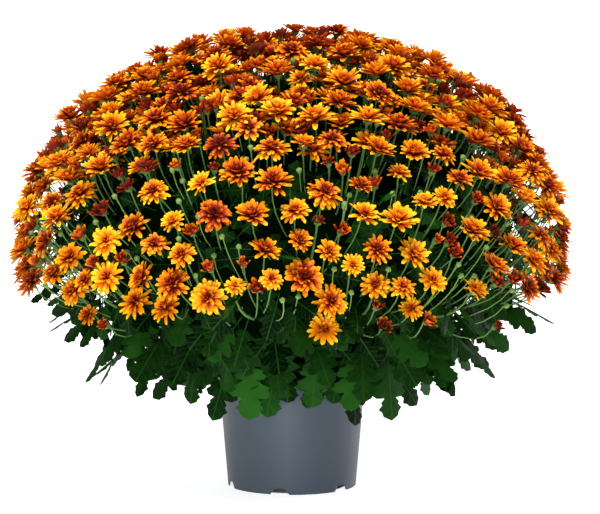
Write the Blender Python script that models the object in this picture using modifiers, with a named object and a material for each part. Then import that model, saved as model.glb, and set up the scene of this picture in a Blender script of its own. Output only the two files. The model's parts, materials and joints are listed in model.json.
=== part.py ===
"""Potted chrysanthemum: a dome of two-coloured blooms on leafy stems, in a round nursery pot.

Metres, +Z up. The origin is on the pot's axis, at the level that the pot stands on. The side
that the photograph shows faces -Y. Each spray of blooms, the green plant under them, the
compost and the pot are solids of their own.
"""
import math
import random

import bmesh
import bpy
import numpy as np
from mathutils import Quaternion, Vector
from mathutils.bvhtree import BVHTree

SEED = 19
CLEARANCE = 0.0003
CUT_BEYOND = 0.004

# Pot: a round nursery pot of 19 cm with a rolled rim and a notched foot
POT_HEIGHT = 0.145
POT_RIM_RADIUS = 0.0945
POT_FOOT_RADIUS = 0.0820
POT_WALL = 0.0018
RIM_DEPTH = 0.008
RIM_LIP = 0.0016
FLOOR_LEVEL = 0.009
POT_STEPS = 32
NOTCH_COUNT = 6
NOTCH_FIRST_TURN = math.radians(-10.9)
NOTCH_WIDTH = 0.020
NOTCH_HEIGHT = 0.0075
NOTCH_FOOT_SHARE = 0.62
NOTCH_TOP_SHARE = 0.34
NOTCH_REACH = (-0.012, 0.008)
DRAIN_RADIUS = 0.005
DRAIN_RING = 0.060
DRAIN_SIDES = 6

# Compost: filled to a finger below the rim, a little higher in the middle
SOIL_BELOW_RIM = 0.014
SOIL_CROWN = 0.004
SOIL_STEPS = 24

# Main stems: they stand in plain holes in the compost and carry the green core
STEM_COUNT = 6
STEM_RADIUS = 0.0045
STEM_HOLE_RADIUS = STEM_RADIUS + 0.0006
STEM_SIDES = 5
STEM_FOOT_RING = 0.030
STEM_TOP_RING = 0.075
STEM_DEPTH = 0.030
STEM_TOP = 0.200

# Dome: the surface that the blooms stand in, wide at DOME_LEVEL and domed above and below it
DOME_LEVEL = 0.310
DOME_RADIUS = 0.341
DOME_RISE = 0.266
DOME_DROP = 0.200
BLOOM_LOWEST = 0.262

# The point inside the bush that the sprays spread out from
INSIDE = Vector((0.0, 0.0, DOME_LEVEL - 0.06))

# Core: the dense stems and leaves inside the bush, which leaves and sprays stand out of
CORE_RADIUS = 0.298
CORE_RISE = 0.224
CORE_BOTTOM = 0.150
CORE_STEPS = 20
CORE_UNDERSIDE = ((0.284, 0.262), (0.190, 0.200), (0.100, 0.163), (0.076, 0.1535))

# Sprays and blooms
SPRAY_COUNT = 56
FULL_COUNT = 288
HALF_COUNT = 98
BUD_COUNT = 40
FULL_RADIUS = (0.0180, 0.0215)
HALF_RADIUS = (0.0085, 0.0115)
BUD_RADIUS = 0.0036
BUD_STRAY = 0.020
BLOOM_DEPTH = (-0.007, 0.006)
BUD_DEPTH = (-0.014, -0.004)
FRONT_LOOSE = 0.35
PUSH_ROUNDS = 80
PUSH_SHARE = 0.6
GROUPING_ROUNDS = 12
NECK_DEPTH = {"full": 0.0100, "half": 0.0085, "bud": 0.0036}
BLOOM_APART = 0.0012
PETALS = 5
HALF_PETALS = 3
GAP_BLOOM_APART = 0.026
STALK_RADIUS = 0.0010
BRANCH_RADIUS = 0.0006
SPINE_RADIUS = 0.0026
UPWARD_LOOK = 0.50
FACING_JITTER = 0.26
BRANCH_SHARE = (0.66, 0.24)
BRANCH_REACH = 0.080

# Front view: where the camera of the photograph stood, and its frame of 600 x 514 pixels
VIEW_DISTANCE = 2.40
VIEW_HEIGHT = 0.43
VIEW_PITCH = math.radians(3.3)
VIEW_FOCAL_PX = 1882.0
VIEW_AXIS_PX = (292.0, 257.0)

# The part of the front where blooms stand apart: left, top, right and bottom in pixels
FRONT_WINDOW_PX = (150, 138, 492, 345)

# Blooms that stand out there and low on the sides: across, down and width in pixels
FRONT_BLOOMS_PX = (
    (221, 146, 35), (271, 156, 38), (154, 147, 34), (187, 145, 32), (377, 153, 36),
    (411, 147, 33), (444, 155, 28), (330, 141, 30), (346, 150, 16), (303, 143, 26),
    (152, 190, 34), (203, 183, 30), (179, 166, 14), (214, 165, 13), (256, 212, 38),
    (215, 215, 36), (170, 224, 27), (188, 235, 19), (294, 206, 31), (325, 193, 38),
    (348, 180, 20), (362, 196, 26), (329, 158, 12), (376, 217, 34), (346, 232, 20),
    (318, 221, 12), (402, 167, 26), (420, 208, 28), (440, 199, 28), (453, 186, 28),
    (433, 170, 15), (473, 201, 17), (467, 231, 37), (448, 221, 20), (438, 240, 14),
    (299, 237, 28), (264, 250, 34), (243, 264, 15), (181, 254, 28), (153, 247, 30),
    (204, 288, 38), (209, 272, 18), (232, 289, 23), (252, 288, 20), (306, 273, 40),
    (281, 277, 24), (328, 255, 28), (357, 258, 25), (372, 246, 32), (412, 246, 37),
    (428, 270, 30), (377, 287, 30), (405, 291, 28), (412, 307, 25), (378, 306, 13),
    (455, 254, 17), (477, 289, 28), (325, 328, 34), (386, 328, 18), (431, 323, 19),
    (494, 325, 14), (540, 288, 20), (500, 283, 15), (86, 312, 22), (97, 324, 14),
    (114, 277, 37), (133, 266, 19), (82, 285, 25),
)
SMALLEST_FULL_PX = 21

# Leaves: half outline as shares of the blade's length, from the stalk to the tip
LEAF_HALF_OUTLINE = (
    (0.00, 0.035), (0.22, 0.29), (0.38, 0.16), (0.66, 0.37), (0.74, 0.18),
)
LEAF_MIDDLE = 0.48
LEAF_THICKNESS = 0.0017
PETIOLE_RADIUS = 0.0013
PETIOLE_SHARE = 0.28
ROOT_SUNK = 0.007

# Tiers of leaves: count, height of the root, turn down in degrees and length
LEAF_TIERS = (
    (4, 0.500, -62, 0.044),
    (6, 0.440, -44, 0.046),
    (8, 0.370, -20, 0.050),
    (10, 0.300, 2, 0.056),
    (21, 0.262, 14, 0.062),
    (22, 0.236, 28, 0.068),
    (19, 0.210, 44, 0.072),
    (14, 0.188, 62, 0.066),
)
LEAF_ROLL = math.radians(58)
LEAF_TRIES = 7
LEAF_ROOM = 1.12

HANGING_WIDTH = 0.95
HANGING_DROOP = 0.05

# Large leaves that hang over the pot and at the sides: turn from the front, root height,
# turn down and length
HANGING_LEAVES = (
    (-17, 0.192, 84, 0.086), (-44, 0.190, 76, 0.058), (9, 0.188, 84, 0.068),
    (25, 0.188, 80, 0.074), (42, 0.192, 80, 0.092), (54, 0.205, 60, 0.078),
    (-58, 0.200, 62, 0.080), (-75, 0.214, 50, 0.094), (72, 0.212, 46, 0.088),
    (88, 0.246, 24, 0.085), (-86, 0.244, 30, 0.064),
)


def clear_scene():
    """Start from an empty file."""
    for item in list(bpy.data.objects):
        bpy.data.objects.remove(item, do_unlink=True)


def make_collection(name):
    """A new collection under the scene."""
    group = bpy.data.collections.new(name)
    bpy.context.scene.collection.children.link(group)
    return group


def make_material(name, colour, roughness):
    """A Principled material of one colour."""
    material = bpy.data.materials.new(name)
    material.use_nodes = True
    shader = material.node_tree.nodes["Principled BSDF"]
    shader.inputs["Base Color"].default_value = (*colour, 1.0)
    shader.inputs["Roughness"].default_value = roughness
    shader.inputs["Metallic"].default_value = 0.0
    return material


def make_object(name, mesh, group, material=None):
    """An object for a mesh, linked to a collection."""
    item = bpy.data.objects.new(name, mesh)
    group.objects.link(item)
    if material:
        mesh.materials.append(material)
    return item


def mesh_from(bm, name):
    """A mesh from a bmesh, with its faces turned outwards."""
    bmesh.ops.recalc_face_normals(bm, faces=bm.faces)
    mesh = bpy.data.meshes.new(name)
    bm.to_mesh(mesh)
    bm.free()
    return mesh


def turned(name, profile, steps, group, material):
    """A solid turned from a profile of (radius, height) points that starts and ends on the axis."""
    mesh = bpy.data.meshes.new(name)
    points = [(radius, 0.0, height) for radius, height in profile]
    edges = [(i, i + 1) for i in range(len(points) - 1)]
    mesh.from_pydata(points, edges, [])
    item = make_object(name, mesh, group, material)
    screw = item.modifiers.new("turn", "SCREW")
    screw.axis = "Z"
    screw.steps = steps
    screw.render_steps = steps
    screw.use_merge_vertices = True
    screw.merge_threshold = 0.00001
    return item


def cut(item, cutters):
    """Cut every object of a collection out of an object."""
    boolean = item.modifiers.new("cut", "BOOLEAN")
    boolean.operation = "DIFFERENCE"
    boolean.operand_type = "COLLECTION"
    boolean.collection = cutters


def cutter(name, bm, group):
    """A cutter, which isn't part of the model."""
    item = make_object(name, mesh_from(bm, name), group)
    item.hide_render = True
    item.display_type = "WIRE"
    return item


def fuse(base, pieces):
    """Join the pieces to the base in one union, and remove them."""
    group = make_collection(base.name + "_pieces")
    for piece in pieces:
        group.objects.link(piece)
    union = base.modifiers.new("join", "BOOLEAN")
    union.operation = "UNION"
    union.solver = "MANIFOLD"
    union.operand_type = "COLLECTION"
    union.collection = group
    graph = bpy.context.evaluated_depsgraph_get()
    joined = bpy.data.meshes.new_from_object(base.evaluated_get(graph))
    base.modifiers.clear()
    base.data = joined
    for piece in pieces:
        bpy.data.objects.remove(piece, do_unlink=True)
    bpy.data.collections.remove(group)


def ring(bm, centre, across, along, radius, count):
    """A ring of vertices round a centre, in the plane of two unit vectors."""
    corners = []
    for i in range(count):
        angle = math.tau * i / count
        offset = across * math.cos(angle) + along * math.sin(angle)
        corners.append(bm.verts.new(centre + offset * radius))
    return corners


def bridge(bm, wide, narrow):
    """Join two rings of unlike counts with triangles, stepping on along the one that lags."""
    i = 0
    j = 0
    while i < len(wide) or j < len(narrow):
        here_wide = wide[i % len(wide)]
        here_narrow = narrow[j % len(narrow)]
        if j == len(narrow) or (i + 1) * len(narrow) <= (j + 1) * len(wide):
            i += 1
            bm.faces.new((here_wide, wide[i % len(wide)], here_narrow))
        else:
            j += 1
            bm.faces.new((here_wide, narrow[j % len(narrow)], here_narrow))


def fan(bm, middle, corners):
    """Close a ring with triangles round one vertex."""
    for i, corner in enumerate(corners):
        bm.faces.new((middle, corner, corners[(i + 1) % len(corners)]))


def square_to(direction, guide):
    """Two unit vectors square to a direction, the first as near to the guide as it can be."""
    across = (guide - direction * guide.dot(direction)).normalized()
    return across, direction.cross(across)


def pot_radius(height):
    """Outer radius of the pot's wall at a height."""
    return POT_FOOT_RADIUS + (POT_RIM_RADIUS - POT_FOOT_RADIUS) * height / POT_HEIGHT


def make_pot(group, cutters, material):
    """The pot: a thin conical wall with a rolled rim, a raised floor, notches and drains."""
    floor_top = FLOOR_LEVEL + POT_WALL
    under_rim = POT_HEIGHT - RIM_DEPTH
    profile = (
        (0.0, floor_top),
        (pot_radius(floor_top) - POT_WALL, floor_top),
        (pot_radius(POT_HEIGHT) - POT_WALL, POT_HEIGHT - 0.0005),
        (POT_RIM_RADIUS - POT_WALL / 2, POT_HEIGHT),
        (POT_RIM_RADIUS + RIM_LIP - 0.0005, POT_HEIGHT - 0.0003),
        (POT_RIM_RADIUS + RIM_LIP, POT_HEIGHT - 0.0015),
        (pot_radius(under_rim) + RIM_LIP * 0.7, under_rim),
        (pot_radius(under_rim), under_rim),
        (POT_FOOT_RADIUS, 0.0),
        (POT_FOOT_RADIUS - POT_WALL, 0.0),
        (pot_radius(FLOOR_LEVEL) - POT_WALL, FLOOR_LEVEL),
        (0.0, FLOOR_LEVEL),
    )
    pot = turned("pot", profile, POT_STEPS, group, material)
    for i in range(NOTCH_COUNT):
        turn = NOTCH_FIRST_TURN + math.tau * i / NOTCH_COUNT
        outward = Vector((math.sin(turn), -math.cos(turn), 0.0))
        sideways = Vector((math.cos(turn), math.sin(turn), 0.0))
        notch = bmesh.new()
        for reach in NOTCH_REACH:
            for share, height in ((NOTCH_FOOT_SHARE, -CUT_BEYOND), (NOTCH_TOP_SHARE, NOTCH_HEIGHT)):
                for half in (-share, share):
                    corner = outward * (POT_FOOT_RADIUS + reach) + sideways * half * NOTCH_WIDTH
                    corner.z = height
                    notch.verts.new(corner)
        bmesh.ops.convex_hull(notch, input=notch.verts)
        cutter(f"notch_{i + 1}", notch, cutters)
        drain = bmesh.new()
        centre = outward * DRAIN_RING
        across, along = Vector((1.0, 0.0, 0.0)), Vector((0.0, 1.0, 0.0))
        under = centre + Vector((0.0, 0.0, FLOOR_LEVEL - CUT_BEYOND))
        over = centre + Vector((0.0, 0.0, floor_top + CUT_BEYOND))
        low = ring(drain, under, across, along, DRAIN_RADIUS, DRAIN_SIDES)
        high = ring(drain, over, across, along, DRAIN_RADIUS, DRAIN_SIDES)
        bridge(drain, low, high)
        drain.faces.new(low)
        drain.faces.new(high)
        cutter(f"drain_{i + 1}", drain, cutters)
    cut(pot, cutters)
    return pot


def stem_line(index):
    """Foot and top of one main stem."""
    turn = math.tau * (index + 0.3) / STEM_COUNT
    foot_ring = STEM_FOOT_RING * (1.0 if index % 2 else 0.55)
    outward = Vector((math.sin(turn), -math.cos(turn), 0.0))
    soil_level = POT_HEIGHT - SOIL_BELOW_RIM
    foot = outward * foot_ring + Vector((0.0, 0.0, soil_level - STEM_DEPTH))
    top = outward * STEM_TOP_RING + Vector((0.0, 0.0, STEM_TOP))
    return foot, top


def rod(bm, start, end, start_radius, end_radius, sides):
    """A tapered rod with flat ends."""
    across, along = square_to((end - start).normalized(), Vector((0.31, 0.95, 0.02)))
    low = ring(bm, start, across, along, start_radius, sides)
    high = ring(bm, end, across, along, end_radius, sides)
    bridge(bm, low, high)
    bm.faces.new(low)
    bm.faces.new(high)


def make_soil(group, cutters, material):
    """The compost: it fills the pot, and each main stem has a plain hole in it."""
    bottom = FLOOR_LEVEL + POT_WALL + CLEARANCE
    level = POT_HEIGHT - SOIL_BELOW_RIM
    bottom_radius = pot_radius(bottom) - POT_WALL - CLEARANCE * 2
    level_radius = pot_radius(level) - POT_WALL - CLEARANCE * 2
    profile = (
        (0.0, level + SOIL_CROWN),
        (level_radius * 0.45, level + SOIL_CROWN * 0.8),
        (level_radius, level),
        (bottom_radius, bottom),
        (0.0, bottom),
    )
    soil = turned("compost", profile, SOIL_STEPS, group, material)
    for i in range(STEM_COUNT):
        foot, top = stem_line(i)
        lean = (top - foot).normalized()
        hole = bmesh.new()
        above = foot + lean * STEM_DEPTH * 2
        rod(hole, foot - lean * CLEARANCE, above, STEM_HOLE_RADIUS, STEM_HOLE_RADIUS, STEM_SIDES)
        cutter(f"hole_{i + 1}", hole, cutters)
    cut(soil, cutters)
    return soil


def dome_normal(point):
    """Outward normal of the bloom surface near a point."""
    height = DOME_RISE if point.z > DOME_LEVEL else DOME_DROP * 1.6
    normal = Vector((
        point.x / DOME_RADIUS ** 2,
        point.y / DOME_RADIUS ** 2,
        (point.z - DOME_LEVEL) / height ** 2,
    ))
    return normal.normalized()


def spiral_sites(count, highest, lowest):
    """Points spread evenly over the dome in a sunflower spiral, by share of its height."""
    golden = math.pi * (3.0 - math.sqrt(5.0))
    sites = []
    for i in range(count):
        share = highest - (highest - lowest) * (i + 0.5) / count
        around = math.sqrt(max(0.0, 1.0 - share ** 2))
        height = DOME_RISE if share > 0.0 else DOME_DROP
        sites.append(Vector((
            DOME_RADIUS * around * math.cos(golden * i),
            DOME_RADIUS * around * math.sin(golden * i),
            DOME_LEVEL + height * share,
        )))
    return sites


def pixel_ray(across_px, down_px):
    """Direction from the camera of the photograph through one of its pixels."""
    ahead = Vector((0.0, math.cos(VIEW_PITCH), -math.sin(VIEW_PITCH)))
    up = Vector((0.0, math.sin(VIEW_PITCH), math.cos(VIEW_PITCH)))
    ray = ahead * VIEW_FOCAL_PX
    ray += Vector((1.0, 0.0, 0.0)) * (across_px - VIEW_AXIS_PX[0])
    ray += up * (VIEW_AXIS_PX[1] - down_px)
    return ray.normalized()


def site_at_pixel(across_px, down_px):
    """The nearest point of the bloom surface behind a pixel, and its distance."""
    eye = Vector((0.0, -VIEW_DISTANCE, VIEW_HEIGHT))
    ray = pixel_ray(across_px, down_px)
    hits = []
    for height, upper in ((DOME_RISE, True), (DOME_DROP, False)):
        scale = Vector((1.0 / DOME_RADIUS, 1.0 / DOME_RADIUS, 1.0 / height))
        start = (eye - Vector((0.0, 0.0, DOME_LEVEL))) * scale
        step = ray * scale
        half = start.dot(step) / step.dot(step)
        rest = half ** 2 - (start.dot(start) - 1.0) / step.dot(step)
        reach = -half - math.sqrt(max(rest, 0.0))
        point = eye + ray * reach
        if (point.z >= DOME_LEVEL) == upper:
            hits.append((reach, point))
    reach, point = min(hits, key=lambda hit: hit[0])
    return point, reach


def pixel_of(point):
    """The pixel of the photograph that a point falls on."""
    offset = point - Vector((0.0, -VIEW_DISTANCE, VIEW_HEIGHT))
    ahead = offset.y * math.cos(VIEW_PITCH) - offset.z * math.sin(VIEW_PITCH)
    up = offset.y * math.sin(VIEW_PITCH) + offset.z * math.cos(VIEW_PITCH)
    across_px = VIEW_AXIS_PX[0] + VIEW_FOCAL_PX * offset.x / ahead
    return across_px, VIEW_AXIS_PX[1] - VIEW_FOCAL_PX * up / ahead


def in_front_window(point):
    """Whether a point lies in the part of the front whose blooms are placed one by one."""
    across_px, down_px = pixel_of(point)
    left, top, right, bottom = FRONT_WINDOW_PX
    return point.y < 0.0 and left < across_px < right and top < down_px < bottom


def any_way(rng):
    """A vector of three chances between -1 and 1."""
    return Vector((rng.uniform(-1, 1), rng.uniform(-1, 1), rng.uniform(-1, 1)))


class Bloom:
    """One bloom: its place, the radius that it needs, its stage and how far it may be pushed."""

    def __init__(self, place, radius, stage, loose):
        self.place = place
        self.radius = radius
        self.stage = stage
        self.loose = loose
        self.depth = 0.0
        self.facing = None

    def face_out(self, rng):
        """Turn the bloom outwards and a little up, each by a chance of its own."""
        facing = dome_normal(self.place) + Vector((0.0, 0.0, UPWARD_LOOK))
        self.facing = (facing + any_way(rng) * FACING_JITTER).normalized()

    def neck(self):
        """Where the stalk meets the bloom."""
        return self.place - self.facing * NECK_DEPTH[self.stage]


def choose_blooms(rng):
    """All blooms and buds: those placed one by one, and a spiral that fills the rest."""
    blooms = []
    for across_px, down_px, width_px in FRONT_BLOOMS_PX:
        place, reach = site_at_pixel(across_px, down_px)
        radius = width_px * reach / VIEW_FOCAL_PX / 2
        stage = "full" if width_px >= SMALLEST_FULL_PX else "half"
        blooms.append(Bloom(place, radius, stage, FRONT_LOOSE))
    lowest = (BLOOM_LOWEST - DOME_LEVEL) / DOME_DROP
    stages = ["full"] * FULL_COUNT + ["half"] * HALF_COUNT
    rng.shuffle(stages)
    for place, stage in zip(spiral_sites(len(stages), 0.999, lowest), stages):
        nearest = min((place - bloom.place).length for bloom in blooms[:len(FRONT_BLOOMS_PX)])
        if in_front_window(place) and nearest < GAP_BLOOM_APART:
            continue
        span = FULL_RADIUS if stage == "full" else HALF_RADIUS
        blooms.append(Bloom(place, rng.uniform(*span), stage, 1.0))
    for place in spiral_sites(BUD_COUNT, 0.93, lowest - 0.1):
        blooms.append(Bloom(place + any_way(rng) * BUD_STRAY, BUD_RADIUS, "bud", 1.0))
    for bloom in blooms:
        bloom.depth = rng.uniform(*BLOOM_DEPTH)
        if bloom.stage == "bud":
            bloom.depth = rng.uniform(*BUD_DEPTH)
    return blooms


def back_on_dome(places, depths):
    """Points moved along rays from the dome's middle until they lie in the bloom surface."""
    offsets = places - np.array((0.0, 0.0, DOME_LEVEL))
    heights = np.where(offsets[:, 2] > 0.0, DOME_RISE, DOME_DROP)
    flat = (offsets[:, 0] ** 2 + offsets[:, 1] ** 2) / DOME_RADIUS ** 2
    scale = np.sqrt(flat + (offsets[:, 2] / heights) ** 2)
    length = np.linalg.norm(offsets, axis=1)
    reach = (length / scale + depths) / length
    return offsets * reach[:, None] + np.array((0.0, 0.0, DOME_LEVEL))


def push_apart(blooms):
    """Move crowded blooms apart over the dome, then shrink what still lies too close."""
    places = np.array([tuple(bloom.place) for bloom in blooms])
    radii = np.array([bloom.radius for bloom in blooms])
    loose = np.array([bloom.loose for bloom in blooms])
    depths = np.array([bloom.depth for bloom in blooms])
    places = back_on_dome(places, depths)
    for _ in range(PUSH_ROUNDS):
        offsets = places[:, None, :] - places[None, :, :]
        gaps = np.linalg.norm(offsets, axis=2) + np.eye(len(blooms))
        wanted = radii[:, None] + radii[None, :] + BLOOM_APART
        lack = np.clip(wanted - gaps, 0.0, None)
        np.fill_diagonal(lack, 0.0)
        share = loose[:, None] / (loose[:, None] + loose[None, :])
        moves = (offsets / gaps[:, :, None] * (lack * share)[:, :, None]).sum(axis=1)
        places = back_on_dome(places + PUSH_SHARE * moves, depths)
        raised = np.maximum(places[:, 2], BLOOM_LOWEST - 0.02)
        places[:, 2] = np.where(loose > FRONT_LOOSE, raised, places[:, 2])
    offsets = places[:, None, :] - places[None, :, :]
    gaps = np.linalg.norm(offsets, axis=2) + np.eye(len(blooms))
    shrink = (gaps - BLOOM_APART) / (radii[:, None] + radii[None, :])
    radii = radii * np.minimum(1.0, shrink.min(axis=1))
    for bloom, place, radius in zip(blooms, places, radii):
        bloom.place = Vector(place)
        bloom.radius = float(radius)


def group_in_sprays(blooms):
    """Share the blooms out among sprays, each round the middle of its own blooms."""
    ways = np.array([tuple((bloom.place - INSIDE).normalized()) for bloom in blooms])
    lowest = (BLOOM_LOWEST - DOME_LEVEL) / DOME_DROP
    sites = spiral_sites(SPRAY_COUNT, 0.99, lowest)
    centres = np.array([tuple((site - INSIDE).normalized()) for site in sites])
    for _ in range(GROUPING_ROUNDS):
        nearest = np.argmax(ways @ centres.T, axis=1)
        for k in range(SPRAY_COUNT):
            members = ways[nearest == k]
            if len(members):
                centres[k] = members.mean(axis=0) / np.linalg.norm(members.mean(axis=0))
    nearest = np.argmax(ways @ centres.T, axis=1)
    sprays = []
    for k in range(SPRAY_COUNT):
        members = [bloom for bloom, spray in zip(blooms, nearest) if spray == k]
        if members:
            middle = Vector(centres[k])
            leaders = [bloom for bloom in members if bloom.stage != "bud"] or members
            leader = max(leaders, key=lambda bloom: (bloom.place - INSIDE).normalized().dot(middle))
            sprays.append((leader, [bloom for bloom in members if bloom is not leader]))
    return sprays


def head_shape(stage, radius):
    """Rim points as (radius, height) and the height of the middle: petals in turn high and low.

    The heights are measured from the bloom's place, along the way that it faces.
    """
    rim = []
    if stage == "bud":
        return [(radius, 0.0)] * 3, BUD_RADIUS
    if stage == "half":
        for _ in range(HALF_PETALS):
            rim += [(radius, 0.0085), (radius * 0.70, 0.0045)]
        return rim, 0.0005
    for i in range(PETALS):
        tip = (radius, 0.0) if i % 2 else (radius * 0.97, 0.0050)
        rim += [tip, (radius * 0.64, 0.0022)]
    return rim, 0.0040


def make_head(bm, bloom, root, root_normal, root_radius, rng):
    """One bloom or bud on its stalk: rim, top and underside in one closed loft."""
    across, along = square_to(bloom.facing, any_way(rng))
    rim_shape, middle_height = head_shape(bloom.stage, bloom.radius)
    rim = []
    for i, (radius, height) in enumerate(rim_shape):
        angle = math.tau * i / len(rim_shape)
        corner = bloom.place + (across * math.cos(angle) + along * math.sin(angle)) * radius
        rim.append(bm.verts.new(corner + bloom.facing * height))
    middle = bm.verts.new(bloom.place + bloom.facing * middle_height)
    fan(bm, middle, rim)
    across, along = square_to((bloom.neck() - root).normalized(), across)
    upper = ring(bm, bloom.neck(), across, along, STALK_RADIUS + root_radius * 0.3, 3)
    bridge(bm, rim, upper)
    across, along = square_to(root_normal, across)
    lower = ring(bm, root, across, along, root_radius, 3)
    bridge(bm, upper, lower)
    bm.faces.new(lower)


def make_spray(name, leader, members, core_tree, group, material, rng):
    """One spray: the leading bloom's stem stands on the core, and the other stalks join it."""
    foot, normal, _, _ = core_tree.ray_cast(leader.place, (INSIDE - leader.place).normalized())
    base = foot + normal * CLEARANCE
    stem = bmesh.new()
    make_head(stem, leader, base, normal, SPINE_RADIUS, rng)
    spray = make_object(name, mesh_from(stem, name), group, material)
    pieces = []
    near, far = BRANCH_SHARE
    for bloom in members:
        reach = min((bloom.place - leader.place).length / BRANCH_REACH, 1.0)
        share = near + (far - near) * reach + rng.uniform(-0.05, 0.05)
        root = base + (leader.neck() - base) * share
        head = bmesh.new()
        make_head(head, bloom, root, (bloom.neck() - root).normalized(), BRANCH_RADIUS, rng)
        pieces.append(bpy.data.objects.new("head", mesh_from(head, "head")))
    if pieces:
        fuse(spray, pieces)
    return spray


def core_profile():
    """Half section of the core as (radius, height), from its top to its underside."""
    points = []
    for i in range(7):
        angle = math.radians(90.0 - 15.0 * i)
        points.append((CORE_RADIUS * math.cos(angle), DOME_LEVEL + CORE_RISE * math.sin(angle)))
    points += list(CORE_UNDERSIDE)
    points.append((0.0, CORE_BOTTOM))
    points[0] = (0.0, points[0][1])
    return points


def make_core(group, material):
    """The green core, with its turn applied so that other shapes can be set against it."""
    core = turned("foliage", core_profile(), CORE_STEPS, group, material)
    graph = bpy.context.evaluated_depsgraph_get()
    mesh = bpy.data.meshes.new_from_object(core.evaluated_get(graph))
    core.modifiers.clear()
    core.data = mesh
    return core


def tree_of(item):
    """A search tree of an object's faces."""
    graph = bpy.context.evaluated_depsgraph_get()
    return BVHTree.FromObject(item, graph)


def leaf_mesh(root, way, face, length, width, droop, grow=1.0):
    """One lobed leaf on its stalk, thickest along the middle: root, direction and face normal.

    The blade's outline is mirrored from LEAF_HALF_OUTLINE, and two points over and under its
    middle close it. The stalk is a three-sided rod whose lower edge runs on to the middle.
    """
    side, _ = square_to(way, face.cross(way))
    lift = way.cross(side)
    if lift.dot(face) < 0.0:
        lift = -lift
    stalk = length * PETIOLE_SHARE
    blade = length - stalk
    bm = bmesh.new()

    def place(along, across, height):
        run = along * blade
        bend = -droop * (along + 0.25) ** 2 * blade - 0.10 * abs(across) * blade
        return root + way * (stalk + run) + side * across * blade * width + lift * (bend + height)

    half = [bm.verts.new(place(a, c * grow, 0.0)) for a, c in LEAF_HALF_OUTLINE]
    tip = bm.verts.new(place(1.0 + (grow - 1.0), 0.0, 0.0))
    other = [bm.verts.new(place(a, -c * grow, 0.0)) for a, c in reversed(LEAF_HALF_OUTLINE)]
    outline = half + [tip] + other
    upper = bm.verts.new(place(LEAF_MIDDLE, 0.0, LEAF_THICKNESS * 0.5 * grow))
    under = bm.verts.new(place(LEAF_MIDDLE, 0.0, -LEAF_THICKNESS * 0.5 * grow))
    fan(bm, upper, outline)
    for i in range(len(outline) - 1):
        bm.faces.new((under, outline[i], outline[i + 1]))
    start = root - way * ROOT_SUNK
    left = bm.verts.new(start + side * PETIOLE_RADIUS)
    right = bm.verts.new(start - side * PETIOLE_RADIUS)
    bottom = bm.verts.new(start - lift * PETIOLE_RADIUS * 1.6)
    bm.faces.new((left, right, bottom))
    bm.faces.new((left, outline[0], outline[-1]))
    bm.faces.new((left, outline[-1], right))
    bm.faces.new((left, bottom, outline[0]))
    bm.faces.new((bottom, under, outline[0]))
    bm.faces.new((right, outline[-1], bottom))
    bm.faces.new((bottom, outline[-1], under))
    return mesh_from(bm, "leaf")


def core_surface(turn, height):
    """Radius of the core at a height, and the outward direction there, from its section."""
    profile = core_profile()
    for (radius_a, height_a), (radius_b, height_b) in zip(profile, profile[1:]):
        if height_a >= height >= height_b:
            share = (height_a - height) / (height_a - height_b)
            radius = radius_a + (radius_b - radius_a) * share
            break
    outward = Vector((math.sin(turn), -math.cos(turn), 0.0))
    return outward * radius + Vector((0.0, 0.0, height)), outward


def hanging_leaf(turn_deg, height, down_deg, length):
    """One of the large leaves that were placed by hand."""
    root, outward = core_surface(math.radians(turn_deg), height)
    down = math.radians(down_deg)
    upright = Vector((0.0, 0.0, 1.0))
    way = outward * math.cos(down) - upright * math.sin(down)
    face = outward * math.sin(down) + upright * math.cos(down)
    return root, way, face, length, HANGING_WIDTH, HANGING_DROOP


def tier_leaf(tier, index, rng):
    """A leaf of a tier, near its even place round the plant, with chances of its own."""
    count, height, down_deg, length = tier
    turn = math.tau * (index + rng.uniform(-0.45, 0.45)) / count + height * 40.0
    root, outward = core_surface(turn, height + rng.uniform(-0.012, 0.012))
    down = math.radians(down_deg + rng.uniform(-16, 16))
    upright = Vector((0.0, 0.0, 1.0))
    sideways = Vector((math.cos(turn), math.sin(turn), 0.0)) * rng.uniform(-0.45, 0.45)
    way = (outward * math.cos(down) - upright * math.sin(down) + sideways).normalized()
    face = outward * math.sin(down) + upright * math.cos(down)
    face.rotate(Quaternion(way, rng.uniform(-LEAF_ROLL, LEAF_ROLL)))
    size = length * rng.uniform(0.82, 1.12)
    return root, way, face, size, rng.uniform(0.70, 0.92), rng.uniform(0.05, 0.22)


def clear_of(leaf, taken):
    """The search tree of a leaf drawn slightly larger, or None where it meets another piece."""
    trial = leaf_mesh(*leaf, grow=LEAF_ROOM)
    probe = bmesh.new()
    probe.from_mesh(trial)
    tree = BVHTree.FromBMesh(probe)
    probe.free()
    bpy.data.meshes.remove(trial)
    if any(tree.overlap(other) for other in taken):
        return None
    return tree


def make_foliage(core, others, rng):
    """Grow main stems and leaves from the core, each leaf where it crosses no other piece."""
    pieces = []
    for i in range(STEM_COUNT):
        foot, top = stem_line(i)
        stem = bmesh.new()
        rod(stem, foot, top, STEM_RADIUS, STEM_RADIUS * 0.9, STEM_SIDES)
        pieces.append(bpy.data.objects.new("stem", mesh_from(stem, "stem")))
    taken = [tree_of(item) for item in others]
    wanted = [[hanging_leaf(*row)] for row in HANGING_LEAVES]
    for tier in LEAF_TIERS:
        for i in range(tier[0]):
            wanted.append([tier_leaf(tier, i, rng) for _ in range(LEAF_TRIES)])
    for tries in wanted:
        for leaf in tries:
            tree = clear_of(leaf, taken)
            if tree:
                taken.append(tree)
                pieces.append(bpy.data.objects.new("leaf", leaf_mesh(*leaf)))
                break
    fuse(core, pieces)


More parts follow.
